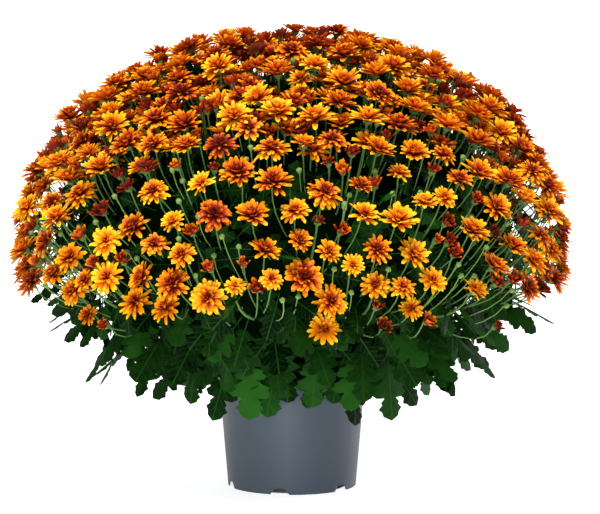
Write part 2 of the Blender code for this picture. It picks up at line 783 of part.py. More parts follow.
def main():
    """Build the plant from the inside out."""
    clear_scene()
    rng = random.Random(SEED)
    model = make_collection("pot_chrysanthemum")
    pot_cutters = make_collection("pot_cutters")
    soil_cutters = make_collection("compost_cutters")
    plastic = make_material("pot_plastic", (0.080, 0.100, 0.125), 0.45)
    compost = make_material("compost", (0.045, 0.028, 0.018), 0.95)
    green = make_material("leaf_green", (0.030, 0.120, 0.020), 0.60)
    orange = make_material("petal_orange", (0.780, 0.270, 0.015), 0.55)
    pot = make_pot(model, pot_cutters, plastic)
    soil = make_soil(model, soil_cutters, compost)
    core = make_core(model, green)
    core_tree = tree_of(core)
    blooms = choose_blooms(rng)
    push_apart(blooms)
    for bloom in blooms:
        bloom.face_out(rng)
    sprays = []
    for i, (leader, members) in enumerate(group_in_sprays(blooms)):
        name = f"spray_{i + 1:02d}"
        sprays.append(make_spray(name, leader, members, core_tree, model, orange, rng))
    make_foliage(core, [pot, soil] + sprays, rng)


if __name__ == "__main__":
    main()
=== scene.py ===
"""Looks of the pot chrysanthemum: petals, leaves, stalks, pot and compost on its fixed frame.

An add-on that is run as a script. Each operator draws one piece, or one group of like pieces,
and main() calls them in turn. Metres, +Z up; the side that the photograph shows faces -Y.
"""
import json
import math
import random

import bmesh
import bpy
import numpy as np
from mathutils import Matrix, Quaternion, Vector
from mathutils.bvhtree import BVHTree
from mathutils.kdtree import KDTree

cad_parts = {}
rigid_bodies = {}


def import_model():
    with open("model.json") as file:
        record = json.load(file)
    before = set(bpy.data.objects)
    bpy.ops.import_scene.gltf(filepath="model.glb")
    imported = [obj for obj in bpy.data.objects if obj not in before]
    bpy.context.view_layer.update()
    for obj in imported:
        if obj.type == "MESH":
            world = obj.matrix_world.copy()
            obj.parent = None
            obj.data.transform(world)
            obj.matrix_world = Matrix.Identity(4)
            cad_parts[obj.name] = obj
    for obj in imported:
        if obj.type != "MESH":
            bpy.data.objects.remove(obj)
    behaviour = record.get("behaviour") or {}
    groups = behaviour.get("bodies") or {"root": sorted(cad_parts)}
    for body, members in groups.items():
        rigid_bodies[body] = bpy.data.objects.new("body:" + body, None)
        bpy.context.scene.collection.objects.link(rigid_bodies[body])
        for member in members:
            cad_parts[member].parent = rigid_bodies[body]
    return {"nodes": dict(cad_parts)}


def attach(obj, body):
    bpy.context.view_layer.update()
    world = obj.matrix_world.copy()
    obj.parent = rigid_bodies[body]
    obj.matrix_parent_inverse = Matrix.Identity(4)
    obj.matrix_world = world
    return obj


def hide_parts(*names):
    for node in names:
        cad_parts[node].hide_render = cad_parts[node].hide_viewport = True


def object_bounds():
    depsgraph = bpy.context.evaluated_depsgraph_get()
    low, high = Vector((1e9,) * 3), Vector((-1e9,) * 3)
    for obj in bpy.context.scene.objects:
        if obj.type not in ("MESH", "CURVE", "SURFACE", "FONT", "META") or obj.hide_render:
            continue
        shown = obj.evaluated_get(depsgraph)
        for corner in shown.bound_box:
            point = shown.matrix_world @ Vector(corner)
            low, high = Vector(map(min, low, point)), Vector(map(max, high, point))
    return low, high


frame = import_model()
cad_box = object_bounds()

bl_info = {
    "name": "Pot Chrysanthemum",
    "version": (1, 0, 0),
    "blender": (4, 5, 0),
    "location": "View3D > Sidebar > Chrysanthemum",
    "description": "Draws a pot chrysanthemum: layered blooms, lobed leaves, pot and compost",
    "category": "Add Mesh",
}

SEED = 19
CLEARANCE = 0.0003
GOLDEN_TURN = math.pi * (3.0 - math.sqrt(5.0))

# Pot
POT_HEIGHT = 0.145
POT_RIM_RADIUS = 0.0945
POT_FOOT_RADIUS = 0.0820
POT_WALL = 0.0018
FLOOR_MIDDLE = 0.004
RIM_DEPTH = 0.008
RIM_LIP = 0.0016
FLOOR_LEVEL = 0.009
NOTCH_COUNT = 6
NOTCH_FIRST_TURN = math.radians(-10.9)
NOTCH_WIDTH = 0.020
NOTCH_HEIGHT = 0.0075
NOTCH_FOOT_SHARE = 0.62
NOTCH_TOP_SHARE = 0.34
NOTCH_STEP_SHARE = 0.985
DRAIN_RADIUS = 0.005
DRAIN_RING = 0.060
DRAIN_SIDES = 20
SOIL_BELOW_RIM = 0.014

# Main stems
STEM_COUNT = 6
STEM_RADIUS = 0.0045
STEM_FOOT_RING = 0.030
STEM_TOP_RING = 0.075
STEM_DEPTH = 0.030
STEM_TOP = 0.200
STEM_FIRST = 0.3
INNER_STEM_SHARE = 0.55

# Dome that the blooms stand in, and the green core inside it
DOME_LEVEL = 0.310
DOME_RADIUS = 0.341
DOME_RISE = 0.266
DOME_DROP = 0.200
STEEPER_BELOW = 1.6
BLOOM_LOWEST = 0.262
LOWEST_SHARE = (BLOOM_LOWEST - DOME_LEVEL) / DOME_DROP
CORE_RADIUS = 0.298
CORE_RISE = 0.224
CORE_BOTTOM = 0.150
CORE_STEPS = 20
CORE_ARC_STEP_DEG = 15
CORE_UNDERSIDE = ((0.284, 0.262), (0.190, 0.200), (0.100, 0.163), (0.076, 0.1535))

# Sprays and blooms
SPRAY_COUNT = 56
FULL_COUNT = 288
HALF_COUNT = 98
BUD_COUNT = 40
FULL_RADIUS = (0.0180, 0.0215)
HALF_RADIUS = (0.0085, 0.0115)
BUD_RADIUS = 0.0036
NECK_DEPTH = {"full": 0.0100, "fill": 0.0090, "half": 0.0085, "bud": 0.0036}
BLOOM_APART = 0.0012
GAP_BLOOM_APART = 0.026
STALK_RADIUS = 0.0010
SPINE_RADIUS = 0.0026
UPWARD_LOOK = 0.50
FACING_JITTER = 0.26
BRANCH_SHARE = (0.66, 0.24)
BRANCH_JITTER = 0.05
BRANCH_REACH = 0.080

# Spread of blooms over the dome: shares of its height, depths, and how crowded ones are moved
BLOOM_TOP_SHARE = 0.999
BUD_TOP_SHARE = 0.93
BUD_LOWER_SHARE = 0.1
SPRAY_TOP_SHARE = 0.99
BLOOM_DEPTH = (-0.007, 0.006)
BUD_DEPTH = (-0.014, -0.004)
BUD_STRAY = 0.02
FRONT_LOOSE = 0.35
LOWEST_SLACK = 0.02
PUSH_ROUNDS = 80
PUSH_SHARE = 0.6
GROUPING_ROUNDS = 12
INSIDE = Vector((0.0, 0.0, DOME_LEVEL - 0.06))

# Front view: where the camera of the photograph stood, and its frame of 600 x 514 pixels
VIEW_DISTANCE = 2.40
VIEW_HEIGHT = 0.43
VIEW_PITCH = math.radians(3.3)
VIEW_FOCAL_PX = 1882.0
VIEW_AXIS_PX = (292.0, 257.0)
VIEW_WIDTH_PX = 600.0
FRONT_WINDOW_PX = (150, 138, 492, 345)
EYE = Vector((0.0, -VIEW_DISTANCE, VIEW_HEIGHT))
AHEAD = Vector((0.0, math.cos(VIEW_PITCH), -math.sin(VIEW_PITCH)))
ABOVE = Vector((0.0, math.sin(VIEW_PITCH), math.cos(VIEW_PITCH)))

# Blooms that stand deeper, in the gaps: how many places are tried, the share of the radii that
# must be free, and what is chosen from. Airy places are the front window and the lower dome.
FILL_TRIES = 1500
FILL_TOP_SHARE = 0.9999
FILL_LOWEST = BLOOM_LOWEST + 0.004
FILL_ROOM = 0.60
AIRY_ROOM = 0.010
AIRY_BELOW = 0.400
FILL_STAGES = ("fill", "fill", "half")
AIRY_FILL_STAGES = ("half", "bud", "bud", "bud")
FILL_RADII = {"fill": (0.0150, 0.0190), "half": HALF_RADIUS, "bud": (0.0032, 0.0042)}
FILL_DEPTHS = {"fill": (0.008, 0.024), "half": (0.004, 0.014), "bud": (0.004, 0.014)}
FILL_STRAY = 0.006

# Blooms of the front: across, down and width in pixels
FRONT_BLOOMS_PX = (
    (221, 146, 35), (271, 156, 38), (154, 147, 34), (187, 145, 32), (377, 153, 36),
    (411, 147, 33), (444, 155, 28), (330, 141, 30), (346, 150, 16), (303, 143, 26),
    (152, 190, 34), (203, 183, 30), (179, 166, 14), (214, 165, 13), (256, 212, 38),
    (215, 215, 36), (170, 224, 27), (188, 235, 19), (294, 206, 31), (325, 193, 38),
    (348, 180, 20), (362, 196, 26), (329, 158, 12), (376, 217, 34), (346, 232, 20),
    (318, 221, 12), (402, 167, 26), (420, 208, 28), (440, 199, 28), (453, 186, 28),
    (433, 170, 15), (473, 201, 17), (467, 231, 37), (448, 221, 20), (438, 240, 14),
    (299, 237, 28), (264, 250, 34), (243, 264, 15), (181, 254, 28), (153, 247, 30),
    (204, 288, 38), (209, 272, 18), (232, 289, 23), (252, 288, 20), (306, 273, 40),
    (281, 277, 24), (328, 255, 28), (357, 258, 25), (372, 246, 32), (412, 246, 37),
    (428, 270, 30), (377, 287, 30), (405, 291, 28), (412, 307, 25), (378, 306, 13),
    (455, 254, 17), (477, 289, 28), (325, 328, 34), (386, 328, 18), (431, 323, 19),
    (494, 325, 14), (540, 288, 20), (500, 283, 15), (86, 312, 22), (97, 324, 14),
    (114, 277, 37), (133, 266, 19), (82, 285, 25),
)
SMALLEST_FULL_PX = 21

# Leaves
PETIOLE_SHARE = 0.28
LEAF_TIERS = (
    (4, 0.500, -62, 0.044),
    (6, 0.440, -44, 0.046),
    (8, 0.370, -20, 0.050),
    (10, 0.300, 2, 0.056),
    (21, 0.262, 14, 0.062),
    (22, 0.236, 28, 0.068),
    (19, 0.210, 44, 0.072),
    (14, 0.188, 62, 0.066),
)
LEAF_ROLL = math.radians(58)
LEAF_TRIES = 7
TIP_MATCH = 0.0008
FRAME_DROOP_REACH = 1.25
HANGING_WIDTH = 0.95
HANGING_DROOP = 0.05
HANGING_LEAVES = (
    (-17, 0.192, 84, 0.086), (-44, 0.190, 76, 0.058), (9, 0.188, 84, 0.068),
    (25, 0.188, 80, 0.074), (42, 0.192, 80, 0.092), (54, 0.205, 60, 0.078),
    (-58, 0.200, 62, 0.080), (-75, 0.214, 50, 0.094), (72, 0.212, 46, 0.088),
    (88, 0.246, 24, 0.085), (-86, 0.244, 30, 0.064),
)

# Chances of leaves in rings: twist by height; strays of turn, height, angle in degrees, way and
# roll; then spans of the length's share, the width and the droop
TIER_CHANCES = (40.0, 0.45, 0.012, 16, 0.45, LEAF_ROLL, (0.82, 1.12), (0.70, 0.92), (0.05, 0.22))
SKIRT_CHANCES = (0.0, 0.42, 0.008, 14, 0.5, 1.1, (0.78, 1.12), (0.72, 1.00), (-0.04, 0.20))

# Rings of leaves under the edge of the bush: count, height, angle down in degrees and length
SKIRT_RINGS = ((14, 0.180, 52, 0.084), (16, 0.205, 46, 0.088), (18, 0.232, 40, 0.074))

# A leaf's half outline on its blade: place along the edge, half width, place along the midrib
LEAF_EDGE = (
    (0.00, 0.030, 0.00), (0.06, 0.120, 0.05), (0.10, 0.265, 0.09), (0.14, 0.235, 0.13),
    (0.19, 0.335, 0.17), (0.26, 0.275, 0.23), (0.28, 0.120, 0.27), (0.35, 0.250, 0.33),
    (0.41, 0.395, 0.38), (0.45, 0.345, 0.42), (0.52, 0.440, 0.47), (0.60, 0.330, 0.54),
    (0.61, 0.145, 0.60), (0.68, 0.235, 0.66), (0.72, 0.205, 0.71), (0.79, 0.295, 0.75),
    (0.85, 0.215, 0.82), (0.92, 0.190, 0.87), (0.965, 0.090, 0.93),
)

# A leaf's stalk before its blade: share of the stalk's length and half width
LEAF_STALK = ((0.0, 0.030), (0.6, 0.022))

# The half outline of a leaf in the shade, which is drawn hundreds of times
SHADE_LEAF_EDGE = (
    (0.00, 0.030, 0.00), (0.17, 0.330, 0.14), (0.30, 0.130, 0.28), (0.50, 0.440, 0.44),
    (0.62, 0.150, 0.60), (0.80, 0.290, 0.75), (0.93, 0.150, 0.90),
)

# A petal's half outline: place along it and half width as shares
PETAL_EDGE = ((0.0, 0.42), (0.58, 1.0), (0.90, 0.76))

# Layers of an open bloom, and of one in the gaps: petals, length, root ring, root height, lift
# and curl in degrees, width and redness; sizes are shares of the bloom's radius
FULL_LAYERS = (
    (13, 1.00, 0.08, -0.10, 0, -10, 0.280, 0.00),
    (13, 0.94, 0.08, -0.04, 13, -10, 0.265, 0.04),
    (11, 0.82, 0.07, 0.01, 26, -6, 0.240, 0.10),
    (10, 0.66, 0.06, 0.05, 41, 2, 0.200, 0.24),
    (8, 0.48, 0.05, 0.08, 56, 20, 0.165, 0.52),
    (6, 0.33, 0.03, 0.08, 76, 34, 0.130, 0.90),
)
FILL_LAYERS = (
    (12, 1.00, 0.08, -0.10, 6, -6, 0.310, 0.02),
    (10, 0.86, 0.08, -0.02, 26, -6, 0.285, 0.12),
    (8, 0.62, 0.06, 0.05, 50, 8, 0.230, 0.50),
)

# Layers of a half-open bloom, in the same order
HALF_LAYERS = (
    (8, 1.38, 0.20, -0.42, 50, 14, 0.50, 0.55),
    (7, 1.28, 0.14, -0.40, 64, 10, 0.44, 0.70),
    (5, 1.05, 0.06, -0.30, 78, 8, 0.36, 0.85),
)
LAYERS = {"full": FULL_LAYERS, "fill": FILL_LAYERS, "half": HALF_LAYERS}

# How the drawn blooms differ from the frame's and from one another: reach as a share of the
# radius and what is added where they look up, looks, tones, and chances of their petals
PETAL_REACH = 1.06
TOP_REACH = 0.30
TOP_LOOK = 0.7
LEAST_REACH = 0.94
LOOK_JITTER = 0.26
LIFTED_LOOK = 0.30
BLOOM_TONES = (0.02, 0.22, 0.42, 0.55, 0.70, 0.88)
TONE_JITTER = 0.08
PETAL_TONE_JITTER = 0.22
HALF_CUP_DEG = (-8.0, 6.0)
OPEN_CUP_DEG = (0.0, 18.0)
TOP_CUP_DEG = 24.0
TOP_CUP_LOOK = 0.55
SLIM_CHOICES = (0.84, 1.0, 1.0, 1.08)
TIRED_SHARE = 0.14
TIRED_DROP_DEG = 10
TIRED_CURL_DEG = 16
TIRED_REDNESS = 0.22
TURN_JITTER = 0.34
LIFT_JITTER_DEG = 13
CURL_JITTER_DEG = 14
TWIST_JITTER = 0.35
LENGTH_CHANCE = (0.83, 1.07)
WIDTH_CHANCE = (0.86, 1.1)
PETAL_THICKNESS = 0.0007
PETAL_CUP = 0.38
INNER_PETAL_CUP = 0.5
INNER_REDNESS = 0.4
BOX_SHARE = 0.94
SHORTEST_SHARE = 0.35

# Stalks: how far inside and below its bloom a stalk starts, its bend under the neck, and what it
# is of the frame's stalk; then rings of buds and calyxes, as height and radius
STALK_INSIDE = 0.060
STALK_FALL = 0.050
STALK_STRAY = 0.006
STALK_BEND = 0.030
STALK_STEPS = (0.0, 0.25, 0.5, 0.75, 0.95)
STALK_SLIM = 0.88
BUD_STALK_SLIM = 0.65
LEAD_STALK_SHARE = 0.6
LESS_FALL_ON_TOP = 0.6
ROOT_PULL = 0.25
NECK_BY_LOOK = 0.5
NECK_UPWARDS = 0.6
STALK_TAPER = 0.6
BUD_RINGS = (
    (-0.0034, 0.0012), (-0.0024, 0.0026), (-0.0004, 0.0035),
    (0.0018, 0.0033), (0.0030, 0.0020), (0.0026, 0.0008),
)
HALF_CALYX_RINGS = (
    (0.0, 0.0014), (0.0016, 0.0028), (0.0036, 0.0040),
    (0.0056, 0.0044), (0.0078, 0.0042), (0.0082, 0.0010),
)
CALYX_RINGS = (
    (0.0, 0.0013), (0.0022, 0.0021), (0.0048, 0.0042),
    (0.0068, 0.0054), (0.0080, 0.0052), (0.0084, 0.0010),
)

# Leaves that the frame doesn't have, and the drawn blades. UNDERSIDE is how far each corner of a
# blade's section counts as its underside: an edge, the upper middle, an edge, the lower middle
INNER_TOP = 0.530
INNER_BOTTOM = 0.172
INNER_CROWDING = 0.9
INNER_STAND = (0.20, 0.62)
INNER_LENGTH = (0.036, 0.052)
INNER_WIDTH = (0.85, 1.05)
INNER_DROOP = (0.0, 0.16)
INNER_FACE_STRAY = 0.35
LOW_LEAF_LEVEL = 0.275
LOW_LEAF_SIDEWAYS = (-0.8, 0.8)
LOW_LEAF_DOWN = (0.4, 1.0)
LOW_LEAF_STAND = (0.25, 0.70)
LOW_LEAF_LENGTH = (0.044, 0.062)
FRINGE_TURN_STRAY = 0.4
FRINGE_HEIGHT = (0.169, 0.188)
FRINGE_DOWN_DEG = (50.0, 84.0)
FRINGE_SIDEWAYS = (-0.6, 0.6)
FRINGE_ROLL = (-0.5, 0.5)
FRINGE_SUNK = 0.008
FRINGE_LENGTH = (0.046, 0.072)
FRINGE_WIDTH = (0.80, 1.00)
FRINGE_DROOP = (-0.05, 0.10)
# Share of the tone that the leaves in the shade keep: painted shade, which darkens them
SHADE_LIGHT = 0.45
UNDERSIDE = (0.25, 0.0, 0.25, 1.0)
TIP_THICKNESS = 0.4
LEAF_SUNK = 0.006
LEAF_THICKNESS = 0.0016
LEAF_FOLD = -0.12
LEAF_CURL = -2.25

# Faces round a stalk, a main stem and the core, the stem's share of the frame's radius, and the
# angles in degrees from which edges are sharp
STALK_SIDES = 5
STEM_SIDES = 10
CORE_SIDES = 60
STEM_SLIM = 0.95
POT_SHARP_DEG = 40
LEAF_SHARP_DEG = 55
CORE_SHARP_DEG = 60
SPRAY_SHARP_DEG = 62

# Paint of green parts, in the channel of a petal's tone, and the tone from which a part is green
STALK_TONE = 2.0
BUD_TONE = 2.5
GREEN_FROM = 1.5

# Petals: fineness of their streaks, and what shifts a colour's place along a petal
STREAK_SCALE = 420.0
STREAK_SHIFT = 0.36
PLACE_START = -0.07
REDNESS_SHIFT = -0.72
TONE_SHIFT = 0.42
TONE_START = -0.30
PETAL_UNDERSIDE = (0.26, 0.40)

# Leaves: half width of the midrib, slant, step, width and strength of the side veins, and patches
MIDRIB_HALF = 0.014
VEIN_SLANT = -0.62
VEIN_START = 0.03
VEIN_STEP = 0.060
VEIN_HALF = 0.0065
VEIN_STRENGTH = 0.55
PATCH_SCALE = 60.0
PATCH_SHARE = 0.5
LEAF_TONE_SHARE = 0.6
LEAF_UNDERSIDE = (0.30, 0.45)

# Pot and compost: size of the mottle and of the crumbs, and the crumbs' relief
MOTTLE_SCALE = 9.0
CRUMB_SCALE = 260.0
CRUMB_RELIEF = 0.002
CRUMB_STRENGTH = 0.7

# Stage: floor, the spot under the pot that doesn't glow, and the wall's corners
STAGE_REACH = 12.0
STAGE_SIDES = 24
SPOT_RADIUS = 0.07
WALL = ((-1.3, 3.2, -0.5), (1.3, 3.2, -0.5), (1.3, 3.2, 1.6), (-1.3, 3.2, 1.6))
GLOWS = (("floor_white", 0.82), ("floor_under_pot", 0.0), ("wall_white", 1.0))
STAGE_WHITE = 0.90
WORLD_LIGHT = 0.25

# Lamps: name, place, aim, size, watts, colour and spread in degrees
LAMPS = (
    ("key", (-0.2, -1.45, 2.7), (0.0, 0.0, 0.35), 0.7, 96.0, (1.0, 0.98, 0.95), 180.0),
    ("low", (-0.25, -1.5, 0.12), (0.0, 0.0, 0.06), 0.25, 5.0, (0.90, 0.97, 1.0), 180.0),
    ("patch", (-0.22, -1.5, 0.10), (-0.018, -0.08, 0.060), 0.10, 0.045, (0.90, 0.97, 1.0), 12.0),
    ("edge", (1.7, 1.0, 0.35), (0.0, 0.0, 0.12), 0.6, 20.0, (0.88, 0.82, 1.0), 180.0),
)


def any_way(rng):
    """A vector of three chances between -1 and 1."""
    return Vector((rng.uniform(-1, 1), rng.uniform(-1, 1), rng.uniform(-1, 1)))


def square_to(direction, guide):
    """Two unit vectors square to a direction, the first as near to the guide as it can be."""
    across = (guide - direction * guide.dot(direction)).normalized()
    return across, direction.cross(across)


def outward_at(turn):
    """The level direction away from the plant's axis at a turn, from the front."""
    return Vector((math.sin(turn), -math.cos(turn), 0.0))


def sideways_at(turn):
    """The level direction along the plant's edge at a turn."""
    return Vector((math.cos(turn), math.sin(turn), 0.0))


def pot_radius(height):
    """Outer radius of the pot's wall at a height."""
    return POT_FOOT_RADIUS + (POT_RIM_RADIUS - POT_FOOT_RADIUS) * height / POT_HEIGHT


def stem_line(index):
    """Foot and top of one main stem."""
    outward = outward_at(math.tau * (index + STEM_FIRST) / STEM_COUNT)
    foot_ring = STEM_FOOT_RING * (1.0 if index % 2 else INNER_STEM_SHARE)
    soil_level = POT_HEIGHT - SOIL_BELOW_RIM
    foot = outward * foot_ring + Vector((0.0, 0.0, soil_level - STEM_DEPTH))
    top = outward * STEM_TOP_RING + Vector((0.0, 0.0, STEM_TOP))
    return foot, top


def dome_normal(point):
    """Outward normal of the bloom surface near a point."""
    height = DOME_RISE if point.z > DOME_LEVEL else DOME_DROP * STEEPER_BELOW
    normal = Vector((
        point.x / DOME_RADIUS ** 2,
        point.y / DOME_RADIUS ** 2,
        (point.z - DOME_LEVEL) / height ** 2,
    ))
    return normal.normalized()


def spiral_sites(count, highest, lowest):
    """Points spread evenly over the dome in a sunflower spiral, by share of its height."""
    sites = []
    for i in range(count):
        share = highest - (highest - lowest) * (i + 0.5) / count
        around = math.sqrt(max(0.0, 1.0 - share ** 2))
        height = DOME_RISE if share > 0.0 else DOME_DROP
        sites.append(Vector((
            DOME_RADIUS * around * math.cos(GOLDEN_TURN * i),
            DOME_RADIUS * around * math.sin(GOLDEN_TURN * i),
            DOME_LEVEL + height * share,
        )))
    return sites


def site_at_pixel(across_px, down_px):
    """The nearest point of the bloom surface behind a pixel, and its distance."""
    ray = AHEAD * VIEW_FOCAL_PX + Vector((across_px - VIEW_AXIS_PX[0], 0.0, 0.0))
    ray += ABOVE * (VIEW_AXIS_PX[1] - down_px)
    ray.normalize()
    hits = []
    for height, upper in ((DOME_RISE, True), (DOME_DROP, False)):
        scale = Vector((1.0 / DOME_RADIUS, 1.0 / DOME_RADIUS, 1.0 / height))
        start = (EYE - Vector((0.0, 0.0, DOME_LEVEL))) * scale
        step = ray * scale
        half = start.dot(step) / step.dot(step)
        rest = half ** 2 - (start.dot(start) - 1.0) / step.dot(step)
        reach = -half - math.sqrt(max(rest, 0.0))
        point = EYE + ray * reach
        if (point.z >= DOME_LEVEL) == upper:
            hits.append((reach, point))
    reach, point = min(hits, key=lambda hit: hit[0])
    return point, reach


def in_front_window(point):
    """Whether a point lies in the part of the front whose blooms are placed one by one."""
    offset = point - EYE
    scale = VIEW_FOCAL_PX / offset.dot(AHEAD)
    across_px = VIEW_AXIS_PX[0] + scale * offset.x
    down_px = VIEW_AXIS_PX[1] - scale * offset.dot(ABOVE)
    left, top, right, bottom = FRONT_WINDOW_PX
    return point.y < 0.0 and left < across_px < right and top < down_px < bottom


class Bloom:
    """One bloom: its place, radius, stage and facing, and how far it may be pushed."""

    def __init__(self, place, radius, stage, loose):
        self.place = place
        self.radius = radius
        self.wanted = radius
        self.stage = stage
        self.loose = loose
        self.depth = 0.0
        self.facing = None
        self.root = None
        self.lead = False

    def face_out(self, rng):
        """Turn the bloom outwards and a little up, each by a chance of its own."""
        facing = dome_normal(self.place) + Vector((0.0, 0.0, UPWARD_LOOK))
        self.facing = (facing + any_way(rng) * FACING_JITTER).normalized()

    def neck(self):
        """Where the stalk meets the bloom."""
        return self.place - self.facing * NECK_DEPTH[self.stage]


def choose_blooms(rng):
    """All blooms and buds: those placed one by one, and a spiral that fills the rest."""
    blooms = []
    for across_px, down_px, width_px in FRONT_BLOOMS_PX:
        place, reach = site_at_pixel(across_px, down_px)
        radius = width_px * reach / VIEW_FOCAL_PX / 2
        stage = "full" if width_px >= SMALLEST_FULL_PX else "half"
        blooms.append(Bloom(place, radius, stage, FRONT_LOOSE))
    stages = ["full"] * FULL_COUNT + ["half"] * HALF_COUNT
    rng.shuffle(stages)
    for place, stage in zip(spiral_sites(len(stages), BLOOM_TOP_SHARE, LOWEST_SHARE), stages):
        nearest = min((place - bloom.place).length for bloom in blooms[:len(FRONT_BLOOMS_PX)])
        if in_front_window(place) and nearest < GAP_BLOOM_APART:
            continue
        span = FULL_RADIUS if stage == "full" else HALF_RADIUS
        blooms.append(Bloom(place, rng.uniform(*span), stage, 1.0))
    for place in spiral_sites(BUD_COUNT, BUD_TOP_SHARE, LOWEST_SHARE - BUD_LOWER_SHARE):
        blooms.append(Bloom(place + any_way(rng) * BUD_STRAY, BUD_RADIUS, "bud", 1.0))
    for bloom in blooms:
        bloom.depth = rng.uniform(*BLOOM_DEPTH)
        if bloom.stage == "bud":
            bloom.depth = rng.uniform(*BUD_DEPTH)
    return blooms


def back_on_dome(places, depths):
    """Points moved along rays from the dome's middle until they lie in the bloom surface."""
    offsets = places - np.array((0.0, 0.0, DOME_LEVEL))
    heights = np.where(offsets[:, 2] > 0.0, DOME_RISE, DOME_DROP)
    flat = (offsets[:, 0] ** 2 + offsets[:, 1] ** 2) / DOME_RADIUS ** 2
    scale = np.sqrt(flat + (offsets[:, 2] / heights) ** 2)
    length = np.linalg.norm(offsets, axis=1)
    reach = (length / scale + depths) / length
    return offsets * reach[:, None] + np.array((0.0, 0.0, DOME_LEVEL))


def push_apart(blooms):
    """Move crowded blooms apart over the dome, then shrink what still lies too close."""
    places = np.array([tuple(bloom.place) for bloom in blooms])
    radii = np.array([bloom.radius for bloom in blooms])
    loose = np.array([bloom.loose for bloom in blooms])
    depths = np.array([bloom.depth for bloom in blooms])
    places = back_on_dome(places, depths)
    for _ in range(PUSH_ROUNDS):
        offsets = places[:, None, :] - places[None, :, :]
        gaps = np.linalg.norm(offsets, axis=2) + np.eye(len(blooms))
        wanted = radii[:, None] + radii[None, :] + BLOOM_APART
        lack = np.clip(wanted - gaps, 0.0, None)
        np.fill_diagonal(lack, 0.0)
        share = loose[:, None] / (loose[:, None] + loose[None, :])
        moves = (offsets / gaps[:, :, None] * (lack * share)[:, :, None]).sum(axis=1)
        places = back_on_dome(places + PUSH_SHARE * moves, depths)
        raised = np.maximum(places[:, 2], BLOOM_LOWEST - LOWEST_SLACK)
        places[:, 2] = np.where(loose > 0.5, raised, places[:, 2])
    offsets = places[:, None, :] - places[None, :, :]
    gaps = np.linalg.norm(offsets, axis=2) + np.eye(len(blooms))
    shrink = (gaps - BLOOM_APART) / (radii[:, None] + radii[None, :])
    radii = radii * np.minimum(1.0, shrink.min(axis=1))
    for bloom, place, radius in zip(blooms, places, radii):
        bloom.place = Vector(place)
        bloom.radius = float(radius)


def group_in_sprays(blooms):
    """Share the blooms out among sprays, each round the middle of its own blooms."""
    ways = np.array([tuple((bloom.place - INSIDE).normalized()) for bloom in blooms])
    sites = spiral_sites(SPRAY_COUNT, SPRAY_TOP_SHARE, LOWEST_SHARE)
    centres = np.array([tuple((site - INSIDE).normalized()) for site in sites])
    for _ in range(GROUPING_ROUNDS):
        nearest = np.argmax(ways @ centres.T, axis=1)
        for k in range(SPRAY_COUNT):
            members = ways[nearest == k]
            if len(members):
                centres[k] = members.mean(axis=0) / np.linalg.norm(members.mean(axis=0))
    nearest = np.argmax(ways @ centres.T, axis=1)
    sprays = []
    for k in range(SPRAY_COUNT):
        members = [bloom for bloom, spray in zip(blooms, nearest) if spray == k]
        if members:
            middle = Vector(centres[k])
            leaders = [bloom for bloom in members if bloom.stage != "bud"] or members
            leader = max(leaders, key=lambda bloom: (bloom.place - INSIDE).normalized().dot(middle))
            sprays.append((leader, [bloom for bloom in members if bloom is not leader]))
    return sprays


def fill_gaps(sprays, rng):
    """Add blooms a little deeper, where there is room, each to the spray that it is nearest to."""
    placed = [bloom for heads in sprays for bloom in heads if bloom.stage != "bud"]
    lowest = (FILL_LOWEST - DOME_LEVEL) / DOME_DROP
    added = []
    for place in spiral_sites(FILL_TRIES, FILL_TOP_SHARE, lowest):
        airy = in_front_window(place) or place.z < AIRY_BELOW
        stage = rng.choice(AIRY_FILL_STAGES if airy else FILL_STAGES)
        radius = rng.uniform(*FILL_RADII[stage])
        place = place + any_way(rng) * FILL_STRAY
        depth = rng.uniform(*FILL_DEPTHS[stage])
        bloom = Bloom(place - dome_normal(place) * depth, radius, stage, 1.0)
        room = min(
            (bloom.place - other.place).length - FILL_ROOM * (other.radius + radius)
            for other in placed)
        if room >= (AIRY_ROOM if airy else 0.0):
            bloom.face_out(rng)
            placed.append(bloom)
            added.append(bloom)
    for bloom in added:
        heads = min(sprays, key=lambda heads: (heads[0].place - bloom.place).length)
        bloom.root = heads[0].root
        heads.append(bloom)


def core_profile():
    """Half section of the core as (radius, height), from its top to its underside."""
    points = []
    for above_deg in range(90, -1, -CORE_ARC_STEP_DEG):
        angle = math.radians(above_deg)
        points.append((CORE_RADIUS * math.cos(angle), DOME_LEVEL + CORE_RISE * math.sin(angle)))
    points += list(CORE_UNDERSIDE)
    points.append((0.0, CORE_BOTTOM))
    points[0] = (0.0, points[0][1])
    return points


def core_surface(turn, height):
    """Point of the core at a turn and height, and the outward direction there."""
    profile = core_profile()
    for (radius_a, height_a), (radius_b, height_b) in zip(profile, profile[1:]):
        if height_a >= height >= height_b:
            share = (height_a - height) / (height_a - height_b)
            radius = radius_a + (radius_b - radius_a) * share
            break
    outward = outward_at(turn)
    return outward * radius + Vector((0.0, 0.0, height)), outward


def between_rings(rows, around):
    """Triangles between neighbouring rings of corners."""
    row, step = np.meshgrid(np.arange(rows - 1), np.arange(around), indexing="ij")
    here = (row * around + step).ravel()
    beside = (row * around + (step + 1) % around).ravel()
    return np.vstack([
        np.stack([here, here + around, beside + around], 1),
        np.stack([here, beside + around, beside], 1),
    ])


def ring_faces(rows, around):
    """Triangles of a closed shell of rings. Two corners that follow the rings close its ends."""
    step = np.arange(around)
    end = np.full(around, rows * around)
    last = (rows - 1) * around
    return np.vstack([
        between_rings(rows, around),
        np.stack([end, step, (step + 1) % around], 1),
        np.stack([end + 1, last + (step + 1) % around, last + step], 1),
    ])


